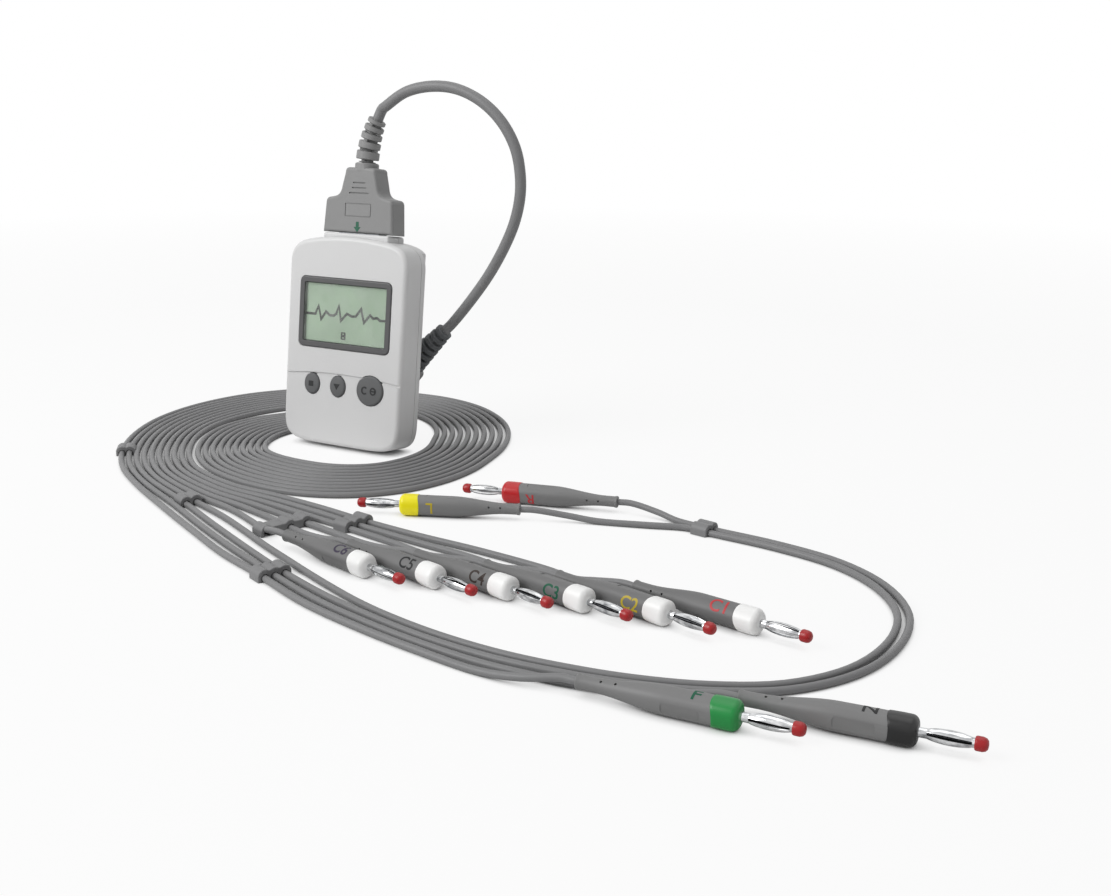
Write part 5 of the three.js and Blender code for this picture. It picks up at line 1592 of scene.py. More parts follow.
    def clip(self, clip: Clip) -> None:
        """Makes a joiner where its leads pass it, moulded with one barrel over each lead.

        Args:
            clip: which leads it holds and where.
        """
        near = Vector(clip.near)
        places, ways = [], []
        for lead in clip.leads:
            line = self.lines[lead]
            best = min(range(1, len(line) - 1), key=lambda i: (line[i].xy - near).length)
            places.append(line[best].xy)
            ways.append((line[best + 1].xy - line[best - 1].xy).normalized())
        middle = sum(places, Vector((0, 0))) / len(places)
        way = sum(ways, Vector((0, 0))).normalized()
        right = Vector((way.y, -way.x))
        lanes = sorted((place - middle).dot(right) for place in places)
        radius = self.diameter / 2
        wide = radius + CLEARANCE + self.joiner_wall
        top = self.joiner_height
        pen = Pen(steps=8)
        pen.to(lanes[0] - wide, self.joiner_foot)
        pen.to(lanes[-1] + wide, self.joiner_foot)
        outer, inner = self.barrel_start
        for lane in reversed(lanes):
            start = outer if lane == lanes[-1] else inner
            end = 180 - (outer if lane == lanes[0] else inner)
            pen.arc((lane, top - wide), wide, start, end)
        half = self.joiner_length / 2
        body = slab(pen.closed(), -half, half, self.joiner_edge, self.joiner_edge, 4)
        for lane in lanes:
            combine(body, Op.CUT, rod(radius + CLEARANCE, -half - 1, half + 1, lane, self.lift, 24))
        turn = math.atan2(way.y, way.x) - math.pi / 2
        place = FLOOR_FRAME @ Matrix.Translation((*middle, 0)) @ Matrix.Rotation(turn, 4, "Z")
        nodes = [clip.node] if clip.node else []
        piece = finish_piece(body, clip.name, place, CABLE, Slot.CABLE, nodes)
        self.riders[clip.leads[0]].append(piece)

    def declare(self) -> None:
        """Works out where each lead leaves the junction box and lists its plug and joiners, without using
        either.
        """
        for lead, made in enumerate(LEADS):
            exit_point = MM * (JUNCTION_FRAME @ self.exit(lead))
            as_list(self.riders[lead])


CLIPS = (
    Clip("limb_joiner", LIMB_JOINER, (0, 1, 2), "joiner_limb"),
    Clip("arm_joiner", ARM_JOINER, (2, 3), "joiner_arm"),
    Clip("coil_joiner_1", (-88.2, -65.2), (0, 1)),
    Clip("coil_joiner_2", (-6.9, -113.4), (2, 3)),
    Clip("chest_joiner_1", (56.5, -119.0), (4, 5, 6)),
    Clip("chest_joiner_2", (80.3, -99.8), (7, 8, 9)),
)


# Hand unit


@dataclass
class CaseShells:
    """The two halves of the case."""

    width: float = 74.0
    height: float = 107.4
    depth: float = 22.0
    bulge: float = 3.5
    bulge_bottom: float = 50.0
    bulge_ramp: float = 8.0
    bulge_inset: float = 4.4
    bulge_side_ramp: float = 1.6
    wall: float = 1.8
    front_fillet: float = 2.6
    rear_fillet: float = 3.0
    corner_reach: float = 15.0
    corner_pull: float = 0.35
    foot_pull: Point2 = (0.25, 0.15)
    crown: float = 1.6
    foot_flat: float = 25.0
    parting: float = 2.0
    groove_height: float = 34.0
    groove_rise: float = 2.4
    groove_width: float = 1.1
    groove_depth: float = 0.8
    socket_x: float = 1.5
    collar: Point3 = (41.0, 14.0, 109.0)
    socket: Point3 = (37.0, 11.6, 14.0)
    window: Point3 = (57.6, 36.0, 68.0)
    window_border: float = 2.9
    screw_places: tuple[Point2, ...] = ((-29.5, 14.0), (29.5, 14.0), (-29.5, 95.5), (29.5, 95.5))
    screw_seat: float = 4.5
    post: float = 2.6
    boss: float = 3.4
    bay_wall: float = 1.6
    bay_floor: float = 0.8
    lip: float = 0.9
    rim_front: float = 6.4
    rim_drop: float = 3.0
    recess: float = 1.8
    seat_depth: float = 1.0
    seat_corner: float = 3.3
    throat_room: float = 2.4
    inner_edge: float = 1.2
    ramp_wall: float = 2.7
    bay: tuple[float, float, float, float] = (24.65, 63.0, 85.2, -2.8)
    door: Point2 = (27.65, 88.2)

    @property
    def front(self) -> float:
        """Depth of the front face."""
        return -self.depth / 2

    @property
    def back(self) -> float:
        """Depth of the back face."""
        return self.depth / 2

    def outline(self) -> Outline:
        """Front view of the case: a short flat foot, soft corners and a crowned top.

        Returns:
            The outline.
        """
        side, top, foot = self.width / 2, self.height, self.foot_flat / 2
        reach = self.corner_reach
        pull = self.corner_pull * reach
        out, up = self.foot_pull[0] * reach, self.foot_pull[1] * reach
        shoulder = side - reach
        slope = 2 * self.crown / shoulder
        edge = top - self.crown
        brow = edge - (reach - pull) * slope
        pen = Pen(steps=16).to(-foot, 0).to(foot, 0)
        pen.bend([(side - out, 0), (side, up)], (side, reach)).to(side, top - reach)
        pen.bend([(side, top - pull), (side - pull, brow)], (shoulder, edge))
        pen.bend([(0, top + self.crown)], (-shoulder, edge))
        pen.bend([(-side + pull, brow), (-side, top - pull)], (-side, top - reach)).to(-side, reach)
        pen.bend([(-side, up), (-side + out, 0)], (-foot, 0))
        return pen.closed()

    def above_ramp(self, shift: float = 0.0) -> Piece:
        """Everything above the ramp that leads up to the battery bulge."""
        far, deep = 2 * self.height, self.depth
        slope = self.bulge_ramp / self.bulge
        low = self.back - self.bulge
        bottom = self.bulge_bottom + shift
        high = self.back + deep
        side = [
            (low - deep, bottom - deep * slope), (high, bottom + self.bulge_ramp + deep * slope),
            (high, far), (low - deep, far),
        ]
        rings = [[(x, y, z) for y, z in side] for x in (-self.width, self.width)]
        return loft("tool", rings)

    def bulge_outline(self) -> Outline:
        """Front view of the battery bulge, which is narrower than the case.

        Returns:
            The outline.
        """
        limit = self.width / 2 - self.bulge_inset + self.bulge_side_ramp
        return [(max(-limit, min(limit, x)), z) for x, z in self.outline()]

    def collar_blank(self) -> Piece:
        """Collar round the lead socket at the top of the case."""
        width, depth, top = self.collar
        tall = 2 * self.socket[2]
        outline = rounded_rectangle(width, tall, 1.5, (self.socket_x, top - tall / 2))
        return slab(outline, -depth / 2, depth / 2, 1.0, 1.0, 4)

    def socket_opening(self) -> Piece:
        """Cutter for the room of the lead socket."""
        half = self.socket[0] / 2 + CLEARANCE
        deep = self.socket[1] / 2 + CLEARANCE
        top = self.collar[2]
        return block(
            (self.socket_x - half, -deep, top - 2 * self.socket[2] - CLEARANCE),
            (self.socket_x + half, deep, top + self.wall),
        )

    def groove(self) -> Piece:
        """Cutter for the shallow arc across the front above the keys."""
        half = self.width / 2 + self.wall
        low = Pen(steps=32).to(-half, self.groove_height)
        low.bend([(0, self.groove_height + 2 * self.groove_rise)], (half, self.groove_height))
        high = [(x, z + self.groove_width) for x, z in reversed(low.points)]
        return slab([*low.points, *high], self.front - self.wall, self.front + self.groove_depth)

    def front_half(self) -> Piece:
        """Front half with its window seat, key holes, groove and socket room.

        Returns:
            The finished piece.
        """
        outline = self.outline()
        split = self.parting - CLEARANCE / 2
        inner_front = self.front + self.wall
        inner = inset(outline, self.wall)
        body = slab(outline, self.front, split, self.front_fillet, 0, 9, "front_half")
        room = slab(inner, inner_front, split + 2, self.front_fillet - self.wall, 0, 4)
        combine(body, Op.CUT, room)
        neck = self.collar_blank()
        combine(neck, Op.CUT, slab(inner, inner_front, self.back, 2, 0, 4))
        combine(neck, Op.KEEP, block((-FAR, -FAR, -FAR), (FAR, split, FAR)))
        combine(body, Op.JOIN, neck)
        width, height, centre = self.window
        less = 2 * self.window_border - self.throat_room
        room = 2 * CLEARANCE
        seat = rounded_rectangle(width + room, height + room, self.seat_corner, (0, centre), 8)
        throat = rounded_rectangle(width - less, height - less, 1.5, (0, centre))
        before = self.front - self.wall
        tools = [
            slab(seat, before, self.front + self.seat_depth),
            slab(throat, before, inner_front + self.wall),
            self.socket_opening(), self.groove(),
        ]
        for key in KEYS:
            hole = ellipse(key.width + room, key.height + room, (key.x, KEY_ROW), 64)
            tools.append(slab(hole, before, inner_front + self.wall))
        combine(body, Op.CUT, *tools)
        for x, z in self.screw_places:
            combine(body, Op.JOIN, rod(self.post, inner_front - 0.5, split, x, z, 24))
        return finish_piece(
            body, "front_half", UNIT_FRAME, SHELL, Slot.SHELL, ["front_shell"], crease=28,
        )

    def rear_half(self) -> Piece:
        """Rear half with its battery bulge, bay, door recess and screw wells.

        Returns:
            The finished piece.
        """
        outline = self.outline()
        split = self.parting + CLEARANCE / 2
        low_back = self.back - self.bulge
        body = slab(outline, split, low_back, 0, self.rear_fillet, 8, "rear_half")
        narrow = self.bulge_outline()
        high = slab(narrow, split, self.back, 0, self.rear_fillet, 8)
        combine(body, Op.JOIN, combine(high, Op.KEEP, self.above_ramp()))
        inner, edge = inset(outline, self.wall), self.inner_edge
        room = slab(inner, split - 2, low_back - self.wall, 0, edge, 3)
        high_room = slab(inset(narrow, self.wall), split - 2, self.back - self.wall, 0, edge, 3)
        combine(room, Op.JOIN, combine(high_room, Op.KEEP, self.above_ramp(self.ramp_wall)))
        neck = self.collar_blank()
        combine(neck, Op.CUT, slab(inner, self.front, self.back - self.wall, 0, edge, 3))
        combine(neck, Op.KEEP, block((-FAR, split, -FAR), (FAR, FAR, FAR)))
        combine(body, Op.CUT, room)
        combine(body, Op.JOIN, neck)
        half, bottom, top, floor = self.bay
        door_half, door_top = self.door
        wide, lip = half + self.bay_wall, self.back - self.lip
        tray = block(
            (-wide, floor - self.bay_floor, bottom - self.bay_wall), (wide, lip, top + self.bay_wall),
        )
        wide = door_half + self.bay_wall
        rim = block((-wide, self.rim_front, bottom - self.rim_drop), (wide, lip, door_top))
        combine(body, Op.JOIN, tray, rim)
        for x, z in self.screw_places:
            boss = rod(self.boss, split, self.back, x, z)
            limit, deep = (narrow, self.back) if z > self.height / 2 else (outline, low_back)
            keep = slab(limit, split, deep, 0, self.rear_fillet, 6)
            combine(body, Op.JOIN, combine(boss, Op.KEEP, keep))
            combine(body, Op.CUT, rod(self.post, self.screw_seat, self.back + 2, x, z))
        recess = block(
            (-door_half - CLEARANCE, self.back - self.recess, self.bulge_bottom - self.bulge_ramp),
            (door_half + CLEARANCE, self.back + 2, door_top + CLEARANCE),
        )
        combine(
            body, Op.CUT, recess, block((-half, floor, bottom), (half, self.back + 2, top)),
            self.socket_opening(),
        )
        return finish_piece(
            body, "rear_half", UNIT_FRAME, SHELL, Slot.SHELL, ["rear_shell"], crease=28,
        )

    def build(self) -> None:
        """Makes both halves."""
        self.front_half()
        self.rear_half()


@dataclass
class BatteryDoor:
    """Sliding door over the cells, with a ribbed thumb grip."""

    case: CaseShells
    thickness: float = 1.5
    grooves: int = 4
    groove_pitch: float = 1.8
    groove_width: float = 18.0
    groove_depth: float = 0.5
    from_top: float = 6.0
    hook_heights: Point2 = (70.3, 82.9)
    hook: Point3 = (4.0, 0.8, 1.4)
    arrow: tuple[Point2, ...] = ((-2.6, 66.5), (2.6, 66.5), (0, 62.8))
    arrow_depth: float = 0.35

    def build(self) -> None:
        """Makes the door."""
        half, top = self.case.door
        back = self.case.back
        plate = block((-half, back - self.thickness, self.case.bulge_bottom), (half, back, top))
        combine(plate, Op.KEEP, self.case.above_ramp(CLEARANCE))
        bay_half = self.case.bay[0]
        length, thick, reach = self.hook
        hook_back = back - self.thickness - CLEARANCE - self.case.lip - CLEARANCE
        leg, foot = bay_half - CLEARANCE, bay_half + reach
        for side in (-1, 1):
            for height in self.hook_heights:
                low, high = height - length / 2, height + length / 2
                for end, deep in ((leg, back - self.thickness / 2), (foot, hook_back)):
                    left, right = sorted((side * (leg - thick), side * end))
                    hook = block((left, hook_back - thick, low), (right, deep, high))
                    combine(plate, Op.JOIN, hook)
        for groove in range(self.grooves):
            height = top - self.from_top - groove * self.groove_pitch
            bar = rounded_rectangle(self.groove_width, self.groove_pitch / 2, 0.44, (0, height))
            combine(plate, Op.CUT, slab(bar, back - self.groove_depth, back + 2))
        combine(plate, Op.CUT, slab(self.arrow, back - self.arrow_depth, back + 2))
        finish_piece(
            plate, "cell_door", UNIT_FRAME, SHELL, Slot.SHELL, ["battery_door"], "door",
            soft_edge=0.18,
        )


@dataclass
class DisplayWindow:
    """Bezel, lens and display with its trace."""

    case: CaseShells
    proud: float = 0.5
    corner: float = 3.0
    panel: tuple[float, float, float, float] = (27.3, 16.5, -7.2, -5.4)
    glass: Point3 = (51.4, 29.8, -9.6)
    trace_base: float = 66.9
    trace_width: float = 1.3
    trace_depths: Point2 = (-0.14, 0.15)
    sign: Point2 = (-1.2, 57.0)
    sign_size: Point2 = (2.9, 3.9)
    sign_hole: Point2 = (1.0, 0.7)
    sign_holes: Point2 = (-0.9, 0.95)
    skirt_room: float = 1.8
    skirt_depth: float = 2.2
    trace: tuple[Point2, ...] = (
        (-25.9, 0), (-19.7, 0), (-17.8, 4.2), (-15.8, -2.4), (-12.8, 1.7), (-10.3, 0), (-7.8, 0),
        (-6.2, 1.1), (-4.7, 5.2), (-3.1, -2.3), (0.6, 1.6), (3.7, 0.5), (6.2, 0.7), (9.4, 4.7),
        (11.5, -2), (15.2, 2), (17.2, 0.5), (19.5, 1.1), (21.5, -0.2), (25.2, 0),
    )

    def bezel(self) -> None:
        """Makes the frame round the window."""
        width, height, centre = self.case.window
        border = self.case.window_border
        front = self.case.front - self.proud
        seat = self.case.front + self.case.seat_depth
        outer = rounded_rectangle(width, height, self.corner, (0, centre), 10)
        frame_blank = slab(outer, front, seat - CLEARANCE, 0.6, 0, 5)
        open_width, open_height = width - 2 * border, height - 2 * border
        wide, tall = open_width + self.skirt_room, open_height + self.skirt_room
        skirt = rounded_rectangle(wide, tall, 1.2, (0, centre))
        combine(frame_blank, Op.JOIN, slab(skirt, self.case.front, seat + self.skirt_depth))
        opening = rounded_rectangle(open_width, open_height, 0.8, (0, centre), 6)
        combine(frame_blank, Op.CUT, slab(opening, front - 2, seat + 4))
        finish_piece(
            frame_blank, "window_frame", UNIT_FRAME, BEZEL, Slot.BEZEL, ["window_bezel"],
            soft_edge=0.2,
        )

    def display(self) -> None:
        """Makes the display: a panel with its glass raised into the bezel."""
        centre = self.case.window[2]
        half_width, half_height, front, back = self.panel
        low = (-half_width, front, centre - half_height)
        body = block(low, (half_width, back, centre + half_height), "display")
        width, height, face = self.glass
        glass = slab(rounded_rectangle(width, height, 0.6, (0, centre)), face, front + 0.5, 0.2, 0, 3)
        combine(body, Op.JOIN, glass)
        finish_piece(
            body, "display_panel", UNIT_FRAME, Display(), Slot.DISPLAY, ["lcd_panel"],
        )

    def trace_line(self) -> None:
        """Makes the dark trace on the display and a small battery sign below it."""
        depth = self.glass[2]
        front, back = (depth + shift for shift in self.trace_depths)
        points = [(x, self.trace_base + z) for x, z in self.trace]
        line = slab(ribbon(points, self.trace_width), front, back)
        finish_piece(line, "display_trace", UNIT_FRAME, INK_DARK, Slot.DISPLAY)
        x, z = self.sign
        sign = slab(rounded_rectangle(*self.sign_size, 0.4, (x, z)), front, back)
        for shift in self.sign_holes:
            hole = rounded_rectangle(*self.sign_hole, 0.2, (x, z + shift))
            combine(sign, Op.CUT, slab(hole, depth - 1, depth + 1))
        finish_piece(sign, "display_battery_sign", UNIT_FRAME, INK_DARK, Slot.DISPLAY)

    def build(self) -> None:
        """Makes the window and dresses the display and the lens."""
        self.bezel()
        self.display()
        self.trace_line()
        dress("window_lens", ClearLens())


@dataclass(frozen=True)
class Key:
    """One key of the row."""

    node: str
    body: str
    x: float
    width: float
    height: float


KEY_ROW = 31.0
KEYS = (
    Key("menu_button", "menu_key", -18.6, 9.7, 10.8),
    Key("down_button", "down_key", -2.0, 9.7, 10.8),
    Key("enter_button", "enter_key", 18.4, 16.4, 15.2),
)


@dataclass
class Keypad:
    """Three domed rubber keys with their signs."""

    front: float = -11.9
    flange: Point2 = (-8.9, -8.0)
    flange_reach: float = 1.2
    stem_back: float = -7.3
    rounding: float = 0.9
    crown: float = 0.35
    sides: int = 56

    def cap(self, key: Key) -> Piece:
        """Domed head of a key.

        Args:
            key: which key.

        Returns:
            The closed mesh.
        """
        rim = self.rounding
        stations = [(0.0, 1.0, self.flange[1]), (0.0, 1.0, self.front + rim)]
        for step in range(1, 7):
            angle = math.pi / 2 * step / 6
            depth = self.front + rim * (1 - math.sin(angle))
            stations.append((rim * (1 - math.cos(angle)), 1.0, depth))
        for share in (0.85, 0.7, 0.5, 0.3, 0.1):
            stations.append((rim, share, self.front - self.crown * (1 - share * share)))
        rings = []
        for shift, share, depth in stations:
            size = ((key.width - 2 * shift) * share, (key.height - 2 * shift) * share)
            rings.append([(x, depth, z) for x, z in ellipse(*size, (key.x, KEY_ROW), self.sides)])
        return loft("tool", rings)

    def signs(self, key: Key) -> list[Piece]:
        """Printed sign of a key: a square, a triangle, or an open ring beside an oval.

        Args:
            key: which key.

        Returns:
            Closed meshes a little proud of the dome.
        """
        x, z = key.x, KEY_ROW
        front, back = self.front - self.crown - 0.03, self.front + 0.3
        if key.node == "menu_button":
            return [slab(rounded_rectangle(3.0, 2.8, 0.2, (x, z)), front, back)]
        if key.node == "down_button":
            return [slab([(x - 2.0, z + 1.4), (x + 2.0, z + 1.4), (x, z - 1.7)], front, back)]
        pen = Pen(steps=20)
        pen.arc((x - 2.6, z), 2.1, 45, 315)
        pen.arc((x - 2.6, z), 1.25, 315, 45)
        oval = slab(ellipse(3.8, 4.1, (x + 2.6, z)), front, back)
        combine(oval, Op.CUT, slab(ellipse(2.1, 2.4, (x + 2.6, z)), front - 1, back + 1))
        bar = slab(rounded_rectangle(2.7, 0.75, 0.1, (x + 2.6, z)), front, back)
        return [slab(pen.closed(), front, back), oval, bar]

    def build(self) -> None:
        """Makes the keys and dresses the mat."""
        for key in KEYS:
            head = self.cap(key)
            reach = 2 * self.flange_reach
            flange = ellipse(key.width + reach, key.height + reach, (key.x, KEY_ROW))
            stem = rod(key.width / 5, self.flange[0], self.stem_back, key.x, KEY_ROW)
            combine(head, Op.JOIN, slab(flange, *self.flange), stem)
            name = f"{key.node}_cap"
            finish_piece(head, name, UNIT_FRAME, KEY, Slot.KEY, [key.node], key.body)
            sign, name = merged("sign", self.signs(key)), f"{key.node}_sign"
            finish_piece(sign, name, UNIT_FRAME, KEY_MARK, Slot.KEY, body=key.body)
        dress("keypad_mat", MAT)


@dataclass
class CaseScrews:
    """Cross-recessed screws in the wells of the rear half."""

    case: CaseShells
    shank: float = 1.2
    head: float = 2.3
    head_height: float = 1.5
    length: float = 9.5
    turns: int = 6
    turn_pitch: float = 0.9
    cross_reach: float = 1.3
    cross_half: float = 0.28
    cross_depth: float = 0.9

    def build(self) -> None:
        """Makes the four screws."""
        seat = self.case.screw_seat + CLEARANCE
        tip = seat - self.length + 2 * CLEARANCE
        top = seat + self.head_height
        profile = [(0.4, tip), (self.shank, tip + 1.2)]
        for turn in range(self.turns):
            along = tip + 1.6 + turn * self.turn_pitch
            profile += [(self.shank * 0.82, along), (self.shank, along + self.turn_pitch / 2)]
        profile += [(self.shank, seat), (self.head, seat), (self.head, seat + 0.6)]
        profile += [(self.head * 0.93, seat + 1.0), (self.head * 0.72, seat + 1.32), (0.5, top)]
        for number, (x, z) in enumerate(self.case.screw_places, 1):
            place = Matrix.Translation((x, 0, z)) @ Matrix.Rotation(math.pi / 2, 4, "Z")
            screw = turned("screw", profile, place, 28)
            sizes = (self.cross_reach, self.cross_half)
            for wide, tall in (sizes, sizes[::-1]):
                low = (x - wide, top - self.cross_depth, z - tall)
                combine(screw, Op.CUT, block(low, (x + wide, top + 1, z + tall)))
            name, nodes = f"cross_screw_{number}", [f"case_screw_{number}"]
            finish_piece(screw, name, UNIT_FRAME, STEEL, Slot.STEEL, nodes)


def dress(node: str, finish: Finish) -> None:
    """Gives a CAD node a finish of its own."""
    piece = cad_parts[node]
    material = finish.material()
    if piece.material_slots:
        piece.material_slots[0].material = material
    else:
        piece.data.materials.append(material)
    LOG.info("%s dressed with %s", node, material.name)


def dress_inside() -> None:
    """Finishes of what the case holds and of the socket parts."""
    dress("main_board", Board())
    dress("lead_socket", SOCKET)
    for node in ("shield_can", "connector_shell", "contact_bridge", "contact_plus", "contact_minus"):
        dress(node, STEEL)
    for node in ("cell_lower", "cell_upper"):
        dress(node, CellWrap())


# Connector and junction


def segmented_boot(
    name: str, segments: Sequence[Point3], core: float,
    along: Callable[[float], tuple[Vector, Vector]], sides: int = 48,
) -> Piece:
    """Strain relief of stiff rings joined by pairs of webs that turn a quarter from gap to gap.

    Args:
        name: name of the piece.
        segments: start, end and radius of each ring, in millimetres along the boot.
        core: radius at the bottom of the gaps.
        along: place and direction at a distance along the boot.
        sides: points of a ring.

    Returns:
        The closed mesh.
    """
    rings = []

    def ring(distance: float, size: Callable[[float], float]) -> None:
        """Adds one ring of points."""
        centre, way = along(distance)
        normal = Vector((0, 1, 0))
        other = way.cross(normal).normalized()
        points = []
        for side in range(sides):
            angle = 2 * math.pi * side / sides
            radius = size(angle)
            points.append(centre + normal * radius * math.cos(angle) + other * radius * math.sin(angle))
        rings.append(points)

    edge, run, thin = 0.45, 0.3, 0.02
    for number, (start, end, radius) in enumerate(segments):
        low = radius - edge
        for place, size in ((start, low), (start + run, radius), (end - run, radius), (end, low)):
            ring(place, lambda _, size=size: size)
        if number + 1 < len(segments):
            after = segments[number + 1]
            web = min(radius, after[2]) - run
            quarter = math.pi / 2 * (number % 2)

            def slot(angle: float, web: float = web, quarter: float = quarter) -> float:
                """Radius of the boot in the gap: two deep slots between the two webs."""
                return lerp(core, web, smoothstep(abs(math.cos(angle - quarter)), 0.93, 0.98))

            ring(end + thin, slot)
            ring(after[0] - thin, slot)
    return loft(name, rings)


@dataclass
class CableConnector:
    """Hood of the cable connector, its engraved front and its strain relief."""

    x: float = 1.5
    bottom: float = 109.3
    width: float = 44.0
    depth: float = 11.6
    base_height: float = 17.8
    height: float = 35.4
    neck: float = 19.0
    neck_flare: float = 1.7
    top: float = 14.0
    step: Point2 = (6.0, 2.5)
    rounding: float = 1.6
    engraved: float = 0.5
    bars: tuple[Point2, ...] = ((129.4, 6.1), (132.0, 4.4), (134.5, 3.9))
    frame_box: tuple[float, float, float, float] = (16.3, 6.8, 120.9, 0.55)
    arrow_heights: Point3 = (109.9, 112.5, 115.1)
    boot_core: float = 2.95
    boot_rings: tuple[Point3, ...] = (
        (0.0, 0.4, 4.4), (1.2, 4.8, 5.8), (5.9, 9.0, 5.6), (10.1, 12.9, 5.3), (14.0, 16.5, 5.0),
        (17.6, 19.6, 4.6),
    )
    shell_room: Point3 = (12.8, 11.6, 4.5)
    shell_depth: float = 4.3
    frame_depth: float = 0.25
    bar_height: float = 0.7
    mark_depths: Point2 = (-0.08, 0.2)

    def outline(self) -> Outline:
        """Front view of the hood: a wide base, hollow shoulders and a narrow neck.

        Returns:
            The outline.
        """
        base, neck, top = self.width / 2, self.neck / 2, self.top / 2
        flare = neck + self.neck_flare
        shoulder = self.bottom + self.base_height
        high = self.bottom + self.height - self.step[1]
        right = Pen(steps=12).to(base, self.bottom).to(base - 1, shoulder - 3)
        right.bend([(base - 1.1, shoulder)], (base - 4, shoulder)).to(flare + 4.4, shoulder + 0.5)
        right.bend([(flare + 0.6, shoulder + 1.3)], (flare, shoulder + 5.8))
        right.to(neck, high - 2.5).bend([(neck, high)], (top, high))
        points = right.points
        left = [(-x, z) for x, z in reversed(points)]
        return [(self.x + x, z) for x, z in [*points, *left]]

    def hood(self) -> Piece:
        """Makes the hood with its engraved lines and its bare frame.

        Returns:
            The finished piece.
        """
        half = self.depth / 2
        body = slab(self.outline(), -half, half, self.rounding, self.rounding, 7)
        top = self.bottom + self.height
        radius, rise = self.step
        profile = [
            (radius, top - rise - self.rounding), (radius, top - 0.7), (radius - 0.2, top - 0.25),
            (radius - 0.7, top),
        ]
        upright = Matrix.Translation((self.x, 0, 0)) @ Matrix.Rotation(-math.pi / 2, 4, "Y")
        combine(body, Op.JOIN, turned("step", profile, upright, 48))
        wide, less, deep = self.shell_room
        corners = ((-wide, -deep), (wide, -deep), (less, deep), (-less, deep))
        heights = (self.bottom - 2, self.bottom + self.shell_depth)
        rings = [[(self.x + x, y, z) for x, y in corners] for z in heights]
        combine(body, Op.CUT, loft("tool", rings))
        for height, reach in self.bars:
            bar = rounded_rectangle(2 * reach, self.bar_height, 0.3, (self.x, height), 3)
            combine(body, Op.CUT, slab(bar, -half - 1, -half + self.engraved))
        width, tall, centre, line = self.frame_box
        box = rounded_rectangle(width, tall, 0.5, (self.x, centre), 3)
        outer = slab(box, -half - 1, -half + self.frame_depth)
        inner = rounded_rectangle(width - 2 * line, tall - 2 * line, 0.3, (self.x, centre), 3)
        combine(outer, Op.CUT, slab(inner, -half - 2, -half + 2))
        combine(body, Op.CUT, outer)
        return finish_piece(
            body, "hood_body", UNIT_FRAME, HOOD, Slot.MOULDING, ["connector_hood"], crease=30,
        )

    def arrow(self) -> Piece:
        """Makes the green arrow that shows where the socket is."""
        tip, barb, tail = self.arrow_heights
        right = [(0, tip), (2.2, barb), (0.9, barb), (0.9, tail)]
        points = [*right, *[(-x, z) for x, z in reversed(right[1:])]]
        outline = [(self.x + x, z) for x, z in points]
        mark = slab(outline, *(shift - self.depth / 2 for shift in self.mark_depths))
        return finish_piece(mark, "hood_arrow", UNIT_FRAME, ARROW_GREEN, Slot.MOULDING)

    def boot(self) -> Piece:
        """Makes the strain relief along the start of the cable.

        Returns:
            The finished piece.
        """
        line = [Vector((x, 0, z)) for x, z in HOOD_BOOT_LINE]
        whole = self.boot_rings[-1][1]

        def along(distance: float) -> tuple[Vector, Vector]:
            """Place and direction on the boot's middle line."""
            t = distance / whole
            place = line[0] * (1 - t) ** 2 + line[1] * (2 * t * (1 - t)) + line[2] * t * t
            way = (line[1] - line[0]) * (1 - t) + (line[2] - line[1]) * t
            return place, way.normalized()

        boot = segmented_boot("boot", self.boot_rings, self.boot_core, along)
        return finish_piece(
            boot, "hood_strain_relief", UNIT_FRAME, HOOD, Slot.BOOT, ["connector_boot"],
            crease=40,
        )

    def build(self) -> list[Piece]:
        """Makes the connector.

        Returns:
            Its pieces.
        """
        return [self.hood(), self.arrow(), self.boot(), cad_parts["connector_shell"]]


